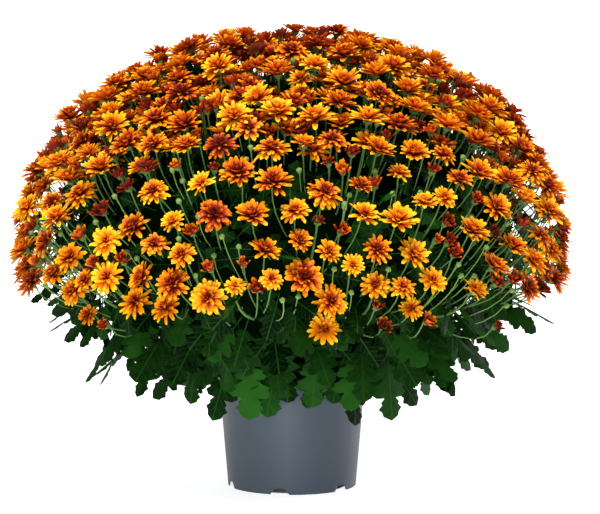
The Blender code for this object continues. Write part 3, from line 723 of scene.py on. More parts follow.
def core_arrays(steps, inset):
    """Corners and triangles of the turned core, drawn in from its section by an inset.

    Each corner of the section becomes a ring: radius * cos(turn), radius * sin(turn), height.
    """
    profile = np.array(core_profile())
    middle = np.array((0.0, DOME_LEVEL))
    profile = middle + (profile - middle) * (1.0 - inset / CORE_RADIUS)
    turns = np.arange(steps) * math.tau / steps
    rows = profile[1:-1]
    corners = np.stack([
        rows[:, None, 0] * np.cos(turns),
        rows[:, None, 0] * np.sin(turns),
        np.broadcast_to(rows[:, None, 1], (len(rows), steps)),
    ], axis=2).reshape(-1, 3)
    corners = np.vstack([corners, (0.0, 0.0, profile[0, 1]), (0.0, 0.0, profile[-1, 1])])
    return corners, ring_faces(len(rows), steps)


def plan_heads(rng):
    """Every bloom with its facing and the root of its stalk, in lists by spray.

    The chances are drawn in the same order as in the frame's source, also where the drawing
    doesn't use them, so that the blooms stand where the frame has them.
    """
    blooms = choose_blooms(rng)
    push_apart(blooms)
    for bloom in blooms:
        bloom.face_out(rng)
    corners, faces = core_arrays(CORE_STEPS, 0.0)
    core_tree = BVHTree.FromPolygons(corners.tolist(), faces.tolist())
    near, far = BRANCH_SHARE
    plan = []
    for leader, members in group_in_sprays(blooms):
        foot, normal, _, _ = core_tree.ray_cast(leader.place, (INSIDE - leader.place).normalized())
        leader.root = foot + normal * CLEARANCE
        leader.lead = True
        any_way(rng)
        for bloom in members:
            reach = min((bloom.place - leader.place).length / BRANCH_REACH, 1.0)
            share = near + (far - near) * reach + rng.uniform(-BRANCH_JITTER, BRANCH_JITTER)
            bloom.root = leader.root + (leader.neck() - leader.root) * share
            any_way(rng)
        plan.append([leader] + members)
    return plan


def hanging_ways(outward, down):
    """Way and face of a leaf that points outwards and down by an angle."""
    upright = Vector((0.0, 0.0, 1.0))
    way = outward * math.cos(down) - upright * math.sin(down)
    return way, outward * math.sin(down) + upright * math.cos(down)


def hanging_leaf(turn_deg, height, down_deg, length):
    """One of the large leaves that were placed one by one."""
    root, outward = core_surface(math.radians(turn_deg), height)
    way, face = hanging_ways(outward, math.radians(down_deg))
    return root, way, face, length, HANGING_WIDTH, HANGING_DROOP


def ring_leaf(ring, index, chances, rng):
    """A leaf of a ring, near its even place round the plant, with chances of its own."""
    count, height, down_deg, length = ring
    twist, turn_stray, height_stray, down_stray, way_stray, roll, *shares = chances
    turn = math.tau * (index + rng.uniform(-turn_stray, turn_stray)) / count + height * twist
    root, outward = core_surface(turn, height + rng.uniform(-height_stray, height_stray))
    down = math.radians(down_deg + rng.uniform(-down_stray, down_stray))
    sideways = sideways_at(turn) * rng.uniform(-way_stray, way_stray)
    way, face = hanging_ways(outward, down)
    way = (way + sideways).normalized()
    face.rotate(Quaternion(way, rng.uniform(-roll, roll)))
    share, width, droop = [rng.uniform(*span) for span in shares]
    return root, way, face, length * share, width, droop


def unit(vectors):
    """Rows scaled to length one."""
    return vectors / np.maximum(np.linalg.norm(vectors, axis=-1, keepdims=True), 1e-12)


def repeated(faces, corners):
    """The triangles of one item, repeated for each item in an array of corners by item."""
    firsts = np.arange(corners.shape[0]) * corners.shape[1]
    return (faces[None, :, :] + firsts[:, None, None]).reshape(-1, 3)


def blade_arrays(root, way, face, length, half, curl, table, thick, cup):
    """Corners, triangles and marks of many blades: place along, place across and underside.

    A blade's middle line is an arc: root + length * (way * sin(c s) / c + face * (1 - cos(c s)) / c)
    for s from 0 to 1 and curl c. Each row of the table gives a station: where its two edges and
    its middle lie along the arc, and its half width. The section is four-sided: an edge, the
    middle's upper side, the other edge, the middle's underside. The tip is one corner.
    """
    face = unit(face - way * np.sum(face * way, axis=1, keepdims=True))
    side = np.cross(face, way)
    curl = np.where(np.abs(curl) < 1e-3, 1e-3, curl)[:, None]

    def on_arc(place):
        bend = curl * place[None, :]
        run = np.sin(bend) / curl
        rise = (1.0 - np.cos(bend)) / curl
        spot = root[:, None, :] + length[:, None, None] * (
            way[:, None, :] * run[:, :, None] + face[:, None, :] * rise[:, :, None])
        lift = face[:, None, :] * np.cos(bend)[:, :, None]
        return spot, lift - way[:, None, :] * np.sin(bend)[:, :, None]

    edge_spot, edge_lift = on_arc(table[:, 0])
    middle_spot, middle_lift = on_arc(table[:, 2])
    tip_spot, _ = on_arc(np.array([1.0]))
    reach = half[:, None] * table[None, :, 1]
    sideways = side[:, None, :] * reach[:, :, None]
    raised = edge_lift * (reach * cup[:, None])[:, :, None]
    taper = 1.0 - (1.0 - TIP_THICKNESS) * table[None, :, 2]
    slim = (thick[:, None] * taper)[:, :, None] * middle_lift
    section = np.stack([
        edge_spot - sideways + raised,
        middle_spot + slim * 0.5,
        edge_spot + sideways + raised,
        middle_spot - slim * 0.5,
    ], axis=2)
    count, stations = section.shape[:2]
    corners = np.concatenate([section.reshape(count, stations * 4, 3), tip_spot], axis=1)
    last = (stations - 1) * 4
    tip = [(last + i, last + 4, last + (i + 1) % 4) for i in range(4)]
    faces = np.vstack([between_rings(stations, 4), tip, [(0, 1, 2), (0, 2, 3)]])
    edge, wide, middle = table.T
    along = np.append(np.stack([edge, middle, edge, middle], 1).ravel(), 1.0)
    across = np.append(np.stack([-wide, wide * 0, wide, wide * 0], 1).ravel(), 0.0)
    under = np.append(np.tile(UNDERSIDE, stations), UNDERSIDE[0])
    return corners.reshape(-1, 3), repeated(faces, corners), np.stack([along, across, under], 1)


def tube_arrays(points, radii, sides):
    """Corners and triangles of many closed tubes, each along a row of points with its radii.

    Each point gets a ring: point + radius * (across * cos(a) + along * sin(a)), where across and
    along are square to the line, and a corner at each end closes the tube.
    """
    count, stations = points.shape[:2]
    way = unit(np.gradient(points, axis=1))
    guide = np.where(np.abs(way[:, :1, 2:3]) > 0.9, (1.0, 0.0, 0.0), (0.0, 0.0, 1.0))
    across = unit(np.cross(way, guide))
    along = np.cross(way, across)
    turns = np.arange(sides) * math.tau / sides
    corners = points[:, :, None, :] + radii[:, :, None, None] * (
        across[:, :, None, :] * np.cos(turns)[None, None, :, None]
        + along[:, :, None, :] * np.sin(turns)[None, None, :, None])
    corners = np.concatenate([corners.reshape(count, -1, 3), points[:, :1], points[:, -1:]], axis=1)
    faces = ring_faces(stations, sides)[:, ::-1]
    place = np.append(np.repeat(np.linspace(0.0, 1.0, stations), sides), (0.0, 1.0))
    return corners.reshape(-1, 3), repeated(faces, corners), np.tile(place, count)


class Batch:
    """Corners, triangles and paint gathered for one mesh."""

    def __init__(self):
        self.corners = []
        self.faces = []
        self.paint = []
        self.count = 0

    def add(self, corners, faces, *paint):
        """Take one more set of arrays. Its four channels of paint are spread over its corners."""
        self.corners.append(corners)
        self.faces.append(faces + self.count)
        channels = np.stack(np.broadcast_arrays(*paint), axis=-1).reshape(-1, 4)
        self.paint.append(np.broadcast_to(channels, (len(corners), 4)))
        self.count += len(corners)

    def make(self, name, material, sharp_deg):
        """The mesh object of all that was gathered."""
        mesh = bpy.data.meshes.new(name)
        mesh.from_pydata(np.concatenate(self.corners), [], np.concatenate(self.faces))
        mesh.polygons.foreach_set("use_smooth", np.ones(len(mesh.polygons), dtype=bool))
        mesh.set_sharp_from_angle(angle=math.radians(sharp_deg))
        paint = mesh.attributes.new("paint", "FLOAT_COLOR", "POINT")
        paint.data.foreach_set("color", np.concatenate(self.paint).astype(np.float32).ravel())
        mesh.materials.append(material)
        mesh.update()
        item = bpy.data.objects.new(name, mesh)
        bpy.context.scene.collection.objects.link(item)
        return item


def petal_rows(bloom, rng):
    """Each petal of a bloom as a row of numbers.

    A row has the petal's root, way and face, then its length, half width, curl and redness.
    """
    lifted = Vector((0.0, 0.0, LIFTED_LOOK))
    facing = (bloom.facing + any_way(rng) * LOOK_JITTER + lifted).normalized()
    across, along = square_to(facing, any_way(rng))
    size = max(bloom.radius, LEAST_REACH * bloom.wanted)
    if bloom.loose > 0.5:
        size *= PETAL_REACH + TOP_REACH * max(0.0, facing.z - TOP_LOOK)
    tired = rng.random() < TIRED_SHARE
    cupped = rng.uniform(*HALF_CUP_DEG)
    if bloom.stage != "half":
        cupped = rng.uniform(*OPEN_CUP_DEG) + TOP_CUP_DEG * max(0.0, facing.z - TOP_CUP_LOOK)
    slim = rng.choice(SLIM_CHOICES)
    rows = []
    for count, length, ring, rise, lift, curl, width, red in LAYERS[bloom.stage]:
        phase = rng.uniform(0.0, math.tau)
        for i in range(count):
            turn = phase + math.tau * (i + rng.uniform(-TURN_JITTER, TURN_JITTER)) / count
            outward = across * math.cos(turn) + along * math.sin(turn)
            tilt_deg = lift + cupped + rng.uniform(-LIFT_JITTER_DEG, LIFT_JITTER_DEG)
            tilt = math.radians(tilt_deg - tired * TIRED_DROP_DEG)
            way = outward * math.cos(tilt) + facing * math.sin(tilt)
            face = facing * math.cos(tilt) - outward * math.sin(tilt)
            face += facing.cross(outward) * rng.uniform(-TWIST_JITTER, TWIST_JITTER)
            root = bloom.place + outward * size * ring + facing * size * rise
            reach = size * length * rng.uniform(*LENGTH_CHANCE)
            half = size * width * slim / 2 * rng.uniform(*WIDTH_CHANCE)
            bend_deg = curl + rng.uniform(-CURL_JITTER_DEG, CURL_JITTER_DEG)
            bend = math.radians(bend_deg - tired * TIRED_CURL_DEG)
            redness = min(1.0, red + tired * TIRED_REDNESS)
            rows.append((*root, *way, *face, reach, half, bend, redness))
    return np.array(rows)


def kept_inside(root, way, length):
    """Lengths of petals, shortened where their tips would pass the frame's box."""
    low, high = np.array([tuple(side) for side in cad_box])
    steps = np.where(np.abs(way) < 1e-6, 1e-6, way)
    room = np.where(way > 0.0, high - root, low - root) / steps
    return np.minimum(length, np.maximum(BOX_SHARE * room.min(axis=1), SHORTEST_SHARE * length))


def add_petals(batch, bloom, rng):
    """Add a bloom's petals, each a blade with a tone of its own."""
    rows = petal_rows(bloom, rng)
    root, way, face = rows[:, 0:3], rows[:, 3:6], rows[:, 6:9]
    length, half, curl, redness = rows[:, 9:13].T
    tone = rng.choice(BLOOM_TONES) + rng.uniform(-TONE_JITTER, TONE_JITTER)
    table = np.array([(along, width, along) for along, width in PETAL_EDGE])
    corners, faces, marks = blade_arrays(
        root, way, face, kept_inside(root, way, length), half, curl, table,
        np.full(len(rows), PETAL_THICKNESS),
        np.where(redness > INNER_REDNESS, INNER_PETAL_CUP, PETAL_CUP))
    own_tone = [[rng.uniform(-PETAL_TONE_JITTER, PETAL_TONE_JITTER)] for _ in rows]
    tones = tone + np.array(own_tone)
    batch.add(corners, faces, marks[:, 0], tones, marks[:, 2], redness[:, None])


def stalk_points(bloom, rng):
    """Points and radii of a bloom's stalk, which bends up to the neck, and its calyx or bud.

    The stalk is a curve on three points: start, middle and neck, each mixed by a share s as
    (1 - s)^2 * start + 2 s (1 - s) * middle + s^2 * neck.
    """
    neck = bloom.neck()
    normal = dome_normal(bloom.place)
    thick = STALK_RADIUS * (BUD_STALK_SLIM if bloom.stage == "bud" else STALK_SLIM)
    foot = SPINE_RADIUS * LEAD_STALK_SHARE if bloom.lead else thick
    fall = Vector((0.0, 0.0, STALK_FALL)) * (1.0 - LESS_FALL_ON_TOP * abs(normal.z))
    start = bloom.place - normal * STALK_INSIDE - fall
    start += (bloom.root - bloom.place) * ROOT_PULL + any_way(rng) * STALK_STRAY
    bend = (bloom.facing * NECK_BY_LOOK + Vector((0.0, 0.0, NECK_UPWARDS))).normalized()
    middle = neck - bend * STALK_BEND
    points = [start.lerp(middle, s).lerp(middle.lerp(neck, s), s) for s in STALK_STEPS]
    between = foot * STALK_TAPER + thick * (1.0 - STALK_TAPER)
    radii = [foot, foot, between, thick, thick]
    base, rings = neck, CALYX_RINGS
    if bloom.stage == "bud":
        base, rings = bloom.place, BUD_RINGS
    elif bloom.stage == "half":
        rings = HALF_CALYX_RINGS
    points += [base + bloom.facing * height for height, _ in rings]
    radii += [radius for _, radius in rings]
    return [tuple(point) for point in points], radii


def draw_spray(name, heads, rng, petal_material):
    """One spray: petals, calyxes, buds and stalks in one mesh."""
    batch = Batch()
    for bloom in heads:
        if bloom.stage != "bud":
            add_petals(batch, bloom, rng)
    lines, radii = zip(*[stalk_points(bloom, rng) for bloom in heads])
    corners, faces, place = tube_arrays(np.array(lines), np.array(radii), STALK_SIDES)
    green = np.array([BUD_TONE if bloom.stage == "bud" else STALK_TONE for bloom in heads])
    batch.add(corners, faces, place, np.repeat(green, len(corners) // len(heads)), 0.0, 0.0)
    return batch.make(name, petal_material, SPRAY_SHARP_DEG)


def frame_tip(leaf):
    """Where the frame's leaf of that place ends: its blade droops from its stalk to its tip."""
    root, way, face, length, _, droop = leaf
    lift = (face - way * face.dot(way)).normalized()
    blade = length * (1.0 - PETIOLE_SHARE)
    return root + way * length - lift * droop * FRAME_DROOP_REACH ** 2 * blade


def frame_leaves(rng, foliage):
    """The leaves that the frame has: of each leaf's tries, the one whose tip is on the frame."""
    tree = KDTree(len(foliage.data.vertices))
    for i, corner in enumerate(foliage.data.vertices):
        tree.insert(corner.co, i)
    tree.balance()
    wanted = [[hanging_leaf(*row)] for row in HANGING_LEAVES]
    for tier in LEAF_TIERS:
        for i in range(tier[0]):
            wanted.append([ring_leaf(tier, i, TIER_CHANCES, rng) for _ in range(LEAF_TRIES)])
    chosen = []
    for tries in wanted:
        for leaf in tries:
            if tree.find(frame_tip(leaf))[2] < TIP_MATCH:
                chosen.append(leaf)
                break
    return chosen


def leaf_table(edge):
    """Stations of a leaf: its stalk first, then the blade's edge, as shares of the whole length."""
    table = np.array(edge)
    table[:, 0] = PETIOLE_SHARE + (1.0 - PETIOLE_SHARE) * table[:, 0]
    table[:, 2] = PETIOLE_SHARE + (1.0 - PETIOLE_SHARE) * table[:, 2]
    stalk = [(PETIOLE_SHARE * at, width, PETIOLE_SHARE * at) for at, width in LEAF_STALK]
    return np.vstack([stalk, table])


def leaf_cloud(leaves, edge):
    """Corners, triangles and marks of many leaves, each (root, way, face, length, width, droop)."""
    root = np.array([tuple(leaf[0] - leaf[1] * LEAF_SUNK) for leaf in leaves])
    way = np.array([tuple(leaf[1]) for leaf in leaves])
    face = np.array([tuple(leaf[2]) for leaf in leaves])
    length, width, droop = np.array([leaf[3:] for leaf in leaves]).T
    length = length + LEAF_SUNK
    half = length * (1.0 - PETIOLE_SHARE) * width
    return blade_arrays(root, way, face, length, half, LEAF_CURL * droop, leaf_table(edge),
                        np.full(len(leaves), LEAF_THICKNESS), np.full(len(leaves), LEAF_FOLD))


def inner_leaves(rng, count):
    """Leaves close over the core, between the stalks, that lie every way round and stand up.

    Those low on the core hang outwards and down, as the lowest leaves of the bush do.
    """
    leaves = []
    for i in range(count):
        share = ((i + 0.5) / count) ** INNER_CROWDING
        height = INNER_TOP - (INNER_TOP - INNER_BOTTOM) * share
        turn = GOLDEN_TURN * i
        root, _ = core_surface(turn, height)
        normal = dome_normal(root)
        sideways = sideways_at(turn)
        upward = normal.cross(sideways).normalized()
        if upward.z < 0.0:
            upward = -upward
        lay = rng.uniform(-math.pi, math.pi)
        flat = sideways * math.cos(lay) + upward * math.sin(lay)
        stand = rng.uniform(*INNER_STAND)
        size = rng.uniform(*INNER_LENGTH)
        if height < LOW_LEAF_LEVEL:
            flat = sideways * rng.uniform(*LOW_LEAF_SIDEWAYS)
            flat -= upward * rng.uniform(*LOW_LEAF_DOWN)
            stand = rng.uniform(*LOW_LEAF_STAND)
            size = rng.uniform(*LOW_LEAF_LENGTH)
        way = (flat.normalized() + normal * stand).normalized()
        face = (normal + any_way(rng) * INNER_FACE_STRAY).normalized()
        leaves.append((root - normal * LEAF_SUNK, way, face, size,
                       rng.uniform(*INNER_WIDTH), rng.uniform(*INNER_DROOP)))
    return leaves


def fringe_leaves(rng, count):
    """Leaves under the bush that hang down round the pot's rim and hide it."""
    leaves = []
    for i in range(count):
        stray = rng.uniform(-FRINGE_TURN_STRAY, FRINGE_TURN_STRAY)
        turn = math.tau * (i + stray) / count
        root, outward = core_surface(turn, rng.uniform(*FRINGE_HEIGHT))
        way, face = hanging_ways(outward, math.radians(rng.uniform(*FRINGE_DOWN_DEG)))
        way += sideways_at(turn) * rng.uniform(*FRINGE_SIDEWAYS)
        face.rotate(Quaternion(way.normalized(), rng.uniform(*FRINGE_ROLL)))
        leaves.append((
            root - way * FRINGE_SUNK, way.normalized(), face, rng.uniform(*FRINGE_LENGTH),
            rng.uniform(*FRINGE_WIDTH), rng.uniform(*FRINGE_DROOP)))
    return leaves


def skirt_leaves(rng):
    """Leaves that stand outwards and down from the underside of the bush, in rings."""
    leaves = []
    for ring in SKIRT_RINGS:
        for i in range(ring[0]):
            root, way, *rest = ring_leaf(ring, i, SKIRT_CHANCES, rng)
            leaves.append((root - way * LEAF_SUNK, way, *rest))
    return leaves


class Look:
    """A material with its node tree, and short ways to add nodes to it."""

    def __init__(self, name, roughness, gloss):
        self.material = bpy.data.materials.new(name)
        self.material.use_nodes = True
        self.nodes = self.material.node_tree.nodes
        self.links = self.material.node_tree.links
        self.nodes.clear()
        self.shader = self.nodes.new("ShaderNodeBsdfPrincipled")
        output = self.nodes.new("ShaderNodeOutputMaterial")
        self.links.new(self.shader.outputs["BSDF"], output.inputs["Surface"])
        self.put(self.shader.inputs["Roughness"], roughness)
        self.put(self.shader.inputs["Specular IOR Level"], gloss)

    def put(self, socket, value):
        """Give a socket a number, a colour or a link."""
        if isinstance(value, (int, float)):
            socket.default_value = value
        elif isinstance(value, bpy.types.NodeSocket):
            self.links.new(value, socket)
        else:
            socket.default_value = (*value, 1.0)

    def colour(self, value):
        """Give the shader its colour."""
        self.put(self.shader.inputs["Base Color"], value)
        return self.material

    def calc(self, operation, *values):
        """One sum on links or numbers."""
        node = self.nodes.new("ShaderNodeMath")
        node.operation = operation
        for socket, value in zip(node.inputs, values):
            self.put(socket, value)
        return node.outputs[0]

    def ramp(self, value, *stops):
        """Colours along a value."""
        node = self.nodes.new("ShaderNodeValToRGB")
        while len(node.color_ramp.elements) < len(stops):
            node.color_ramp.elements.new(0.5)
        for element, (place, colour) in zip(node.color_ramp.elements, stops):
            element.position = place
            element.color = (*colour, 1.0)
        self.links.new(value, node.inputs["Fac"])
        return node.outputs["Color"]

    def mix(self, share, first, second):
        """A colour between two, by a share."""
        node = self.nodes.new("ShaderNodeMix")
        node.data_type = "RGBA"
        for name, value in (("Factor", share), ("A", first), ("B", second)):
            self.put(node.inputs[name], value)
        return node.outputs["Result"]

    def between(self, value, low, high):
        """Where a value lies between two others, as a share."""
        node = self.nodes.new("ShaderNodeMapRange")
        self.put(node.inputs["From Min"], low)
        self.put(node.inputs["From Max"], high)
        self.links.new(value, node.inputs["Value"])
        return node.outputs["Result"]

    def noise(self, scale, detail):
        """Cloudy noise over the object's own coordinates."""
        coords = self.nodes.new("ShaderNodeTexCoord")
        node = self.nodes.new("ShaderNodeTexNoise")
        self.put(node.inputs["Scale"], scale)
        self.put(node.inputs["Detail"], detail)
        self.links.new(coords.outputs["Object"], node.inputs["Vector"])
        return node.outputs["Fac"]

    def paint(self):
        """The four channels of the mesh's paint."""
        paint = self.nodes.new("ShaderNodeAttribute")
        paint.attribute_name = "paint"
        parts = self.nodes.new("ShaderNodeSeparateColor")
        self.links.new(paint.outputs["Color"], parts.inputs["Color"])
        return [parts.outputs[name] for name in ("Red", "Green", "Blue")] + [paint.outputs["Alpha"]]


def petal_paint(colours):
    """Petals and stalks: yellow tips over orange and red-brown, rust undersides, green stalks."""
    look = Look("petals", 0.60, 0.12)
    along, tone, under, red = look.paint()
    place = look.calc("ADD", along, PLACE_START)
    place = look.calc("MULTIPLY_ADD", look.noise(STREAK_SCALE, 2.0), STREAK_SHIFT, place)
    place = look.calc("MULTIPLY_ADD", red, REDNESS_SHIFT, place)
    place = look.calc("ADD", place, look.calc("MULTIPLY_ADD", tone, TONE_SHIFT, TONE_START))
    upper = look.ramp(
        place, (0.04, colours.heart), (0.30, colours.base), (0.52, colours.middle),
        (0.74, colours.tip), (0.96, colours.bright))
    lower = look.ramp(
        place, (0.10, colours.under_base), (0.55, colours.under_middle), (1.00, colours.under_tip))
    petal = look.mix(look.between(under, *PETAL_UNDERSIDE), upper, lower)
    green = look.ramp(
        look.calc("SUBTRACT", tone, STALK_TONE),
        (0.0, colours.stalk), (BUD_TONE - STALK_TONE, colours.bud))
    return look.colour(look.mix(look.calc("GREATER_THAN", tone, GREEN_FROM), petal, green))


def leaf_paint(colours):
    """Leaves: dark green with paler veins from midrib to lobes, and a grey-green underside."""
    look = Look("leaves", 0.60, 0.03)
    along, across, tone, under = look.paint()
    off_middle = look.calc("ABSOLUTE", look.calc("SUBTRACT", across, 0.5))
    midrib = look.calc("LESS_THAN", off_middle, MIDRIB_HALF)
    slanted = look.calc("MULTIPLY_ADD", off_middle, VEIN_SLANT, along)
    wave = look.calc("PINGPONG", look.calc("ADD", slanted, VEIN_START), VEIN_STEP)
    side_vein = look.calc("LESS_THAN", wave, VEIN_HALF)
    vein = look.calc("MAXIMUM", midrib, look.calc("MULTIPLY", side_vein, VEIN_STRENGTH))
    own = look.calc("MULTIPLY", tone, LEAF_TONE_SHARE)
    mood = look.calc("MULTIPLY_ADD", look.noise(PATCH_SCALE, 3.0), PATCH_SHARE, own)
    blade = look.ramp(
        mood, (0.30, colours.leaf_dark), (0.62, colours.leaf), (0.95, colours.leaf_light))
    top = look.mix(vein, blade, colours.vein)
    return look.colour(look.mix(look.between(under, *LEAF_UNDERSIDE), top, colours.leaf_under))


def core_paint(colours):
    """The dense shade inside the bush: nearly black green, without gloss."""
    return Look("shade", 1.0, 0.0).colour(colours.core)


def pot_paint(colours):
    """Satin slate plastic with a faint mottle."""
    look = Look("pot_plastic_look", 0.46, 0.32)
    cloud = look.noise(MOTTLE_SCALE, 2.0)
    return look.colour(look.ramp(cloud, (0.30, colours.pot_dark), (0.70, colours.pot)))


def soil_paint(colours):
    """Crumbly dark compost."""
    look = Look("compost_look", 0.95, 0.5)
    crumbs = look.noise(CRUMB_SCALE, 6.0)
    bump = look.nodes.new("ShaderNodeBump")
    look.put(bump.inputs["Strength"], CRUMB_STRENGTH)
    look.put(bump.inputs["Distance"], CRUMB_RELIEF)
    look.put(bump.inputs["Height"], crumbs)
    look.put(look.shader.inputs["Normal"], bump.outputs["Normal"])
    return look.colour(look.ramp(crumbs, (0.35, colours.soil_dark), (0.75, colours.soil)))


def colour_property(name, description, default):
    """A colour setting."""
    return bpy.props.FloatVectorProperty(
        name=name, description=description, default=default, subtype="COLOR", size=3,
        min=0.0, max=1.0)


class ChrysanthemumColours(bpy.types.PropertyGroup):
    """Colours of the plant, its pot and its compost."""

    heart: colour_property("Heart", "Dark red-brown of the innermost florets", (0.120, 0.010, 0.003))
    base: colour_property("Petal base", "Red-orange of a petal near its root", (0.380, 0.026, 0.003))
    middle: colour_property("Petal middle", "Orange of a petal's middle", (0.830, 0.190, 0.004))
    tip: colour_property("Petal tip", "Yellow-orange towards a petal's tip", (0.970, 0.370, 0.004))
    bright: colour_property("Petal edge", "Brightest yellow at a petal's tip", (1.000, 0.560, 0.014))
    under_base: colour_property(
        "Underside base", "Dark rust of a petal's underside", (0.200, 0.016, 0.006))
    under_middle: colour_property(
        "Underside middle", "Rust red of a petal's underside", (0.560, 0.085, 0.007))
    under_tip: colour_property(
        "Underside tip", "Orange of an underside's tip", (0.950, 0.370, 0.010))
    stalk: colour_property("Stalk", "Light green of stalks and calyxes", (0.090, 0.190, 0.046))
    bud: colour_property("Bud", "Pale green of closed buds", (0.170, 0.290, 0.070))
    leaf_dark: colour_property("Leaf, dark", "Darkest green of the leaves", (0.0010, 0.0070, 0.0008))
    leaf: colour_property("Leaf", "Usual green of the leaves", (0.0095, 0.0500, 0.0055))
    leaf_light: colour_property(
        "Leaf, light", "Lightest green of the leaves", (0.0150, 0.0880, 0.0070))
    leaf_under: colour_property(
        "Leaf underside", "Grey-green of the leaves' undersides", (0.0080, 0.0340, 0.0060))
    vein: colour_property("Vein", "Pale green of the leaves' veins", (0.0160, 0.0720, 0.0090))
    core: colour_property("Core", "Shade inside the bush", (0.001, 0.006, 0.001))
    pot: colour_property("Pot", "Slate blue-grey of the pot", (0.043, 0.058, 0.077))
    pot_dark: colour_property("Pot, dark", "Darker mottle of the pot", (0.037, 0.051, 0.069))
    soil: colour_property("Compost", "Brown of the compost", (0.060, 0.036, 0.020))
    soil_dark: colour_property(
        "Compost, dark", "Darkest crumbs of the compost", (0.014, 0.008, 0.005))


class ChrysanthemumSizes(bpy.types.PropertyGroup):
    """Counts and sizes that the drawing uses."""

    inner_leaf_count: bpy.props.IntProperty(
        name="Inner leaves", description="Leaves close over the core", default=760, min=0)
    fringe_leaf_count: bpy.props.IntProperty(
        name="Fringe leaves", description="Leaves that hang round the pot's rim", default=76,
        min=0)
    core_inset: bpy.props.FloatProperty(
        name="Core inset", description="How far the shaded core is drawn in", default=0.022,
        unit="LENGTH")
    pot_columns: bpy.props.IntProperty(
        name="Pot columns", description="Columns of faces round the pot between notches", default=16,
        min=4)


class CHRYSANTHEMUM_OT_pot(bpy.types.Operator):
    """Draw the pot as a smooth turned shell with notches in its foot and drain holes"""

    bl_idname = "chrysanthemum.pot"
    bl_label = "Pot"

    def execute(self, context):
        """The shell is a row of rings closed at the floor's middle, above and below.

        A ring's height is its section's height, or the notch's where that is higher.
        """
        columns = context.scene.chrysanthemum_sizes.pot_columns
        half_low = NOTCH_FOOT_SHARE * NOTCH_WIDTH / POT_FOOT_RADIUS
        half_high = NOTCH_TOP_SHARE * NOTCH_WIDTH / POT_FOOT_RADIUS
        part = math.tau / NOTCH_COUNT
        # Turns of one notch's sides and top, then even steps to the next notch
        step_in = half_low * NOTCH_STEP_SHARE
        marks = np.concatenate([
            [-half_low, -step_in, -half_high, half_high, step_in],
            np.linspace(half_low, part - half_low, columns)[:-1],
        ])
        turns = np.concatenate([NOTCH_FIRST_TURN + part * k + marks for k in range(NOTCH_COUNT)])
        slope = (half_low - np.abs(marks)) / (half_low - half_high)
        notch = np.tile(np.clip(slope, 0.0, 1.0) * NOTCH_HEIGHT, NOTCH_COUNT)
        notch = np.where(notch > NOTCH_HEIGHT * 0.9, NOTCH_HEIGHT, notch)
        floor_top = FLOOR_LEVEL + POT_WALL
        under_rim = POT_HEIGHT - RIM_DEPTH
        lip = POT_RIM_RADIUS + RIM_LIP
        # Section as (radius, height): the floor, up inside, over the rim, down outside, the foot
        profile = np.array((
            (FLOOR_MIDDLE, floor_top),
            (pot_radius(floor_top) - POT_WALL - 0.003, floor_top),
            (pot_radius(floor_top) - POT_WALL, floor_top + 0.003),
            (pot_radius(POT_HEIGHT) - POT_WALL, POT_HEIGHT - 0.0012),
            (pot_radius(POT_HEIGHT) - POT_WALL * 0.7, POT_HEIGHT - 0.0003),
            (POT_RIM_RADIUS, POT_HEIGHT),
            (lip - 0.0007, POT_HEIGHT - 0.0002),
            (lip - 0.0001, POT_HEIGHT - 0.0011),
            (lip, POT_HEIGHT - 0.003),
            (pot_radius(under_rim) + RIM_LIP * 0.75, under_rim + 0.0008),
            (pot_radius(under_rim) + RIM_LIP * 0.45, under_rim),
            (pot_radius(under_rim - 0.0004), under_rim - 0.0004),
            (pot_radius(0.100), 0.100),
            (pot_radius(0.060), 0.060),
            (pot_radius(0.020), 0.020),
            (pot_radius(0.0085), 0.0085),
            (POT_FOOT_RADIUS, 0.0),
            (POT_FOOT_RADIUS - POT_WALL, 0.0),
            (pot_radius(FLOOR_LEVEL) - POT_WALL, FLOOR_LEVEL),
            (FLOOR_MIDDLE, FLOOR_LEVEL),
        ))
        heights = np.broadcast_to(profile[:, None, 1], (len(profile), len(turns))).copy()
        foot = np.flatnonzero(profile[:, 1] == 0.0)
        heights[foot] = np.maximum(heights[foot], notch[None, :])
        radii = np.broadcast_to(profile[:, None, 0], heights.shape).copy()
        radii[foot] += notch[None, :] * (POT_RIM_RADIUS - POT_FOOT_RADIUS) / POT_HEIGHT
        rings = np.stack([radii * np.sin(turns), -radii * np.cos(turns), heights], axis=2)
        ends = ((0.0, 0.0, floor_top), (0.0, 0.0, FLOOR_LEVEL))
        corners = np.vstack([rings.reshape(-1, 3), ends])
        batch = Batch()
        batch.add(corners, ring_faces(*heights.shape), 0.0, 0.0, 0.0, 0.0)
        look = pot_paint(context.scene.chrysanthemum_colours)
        item = batch.make("pot_shell", look, POT_SHARP_DEG)
        drill(item)
        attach(item, "root")
        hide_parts("pot")
        return {"FINISHED"}


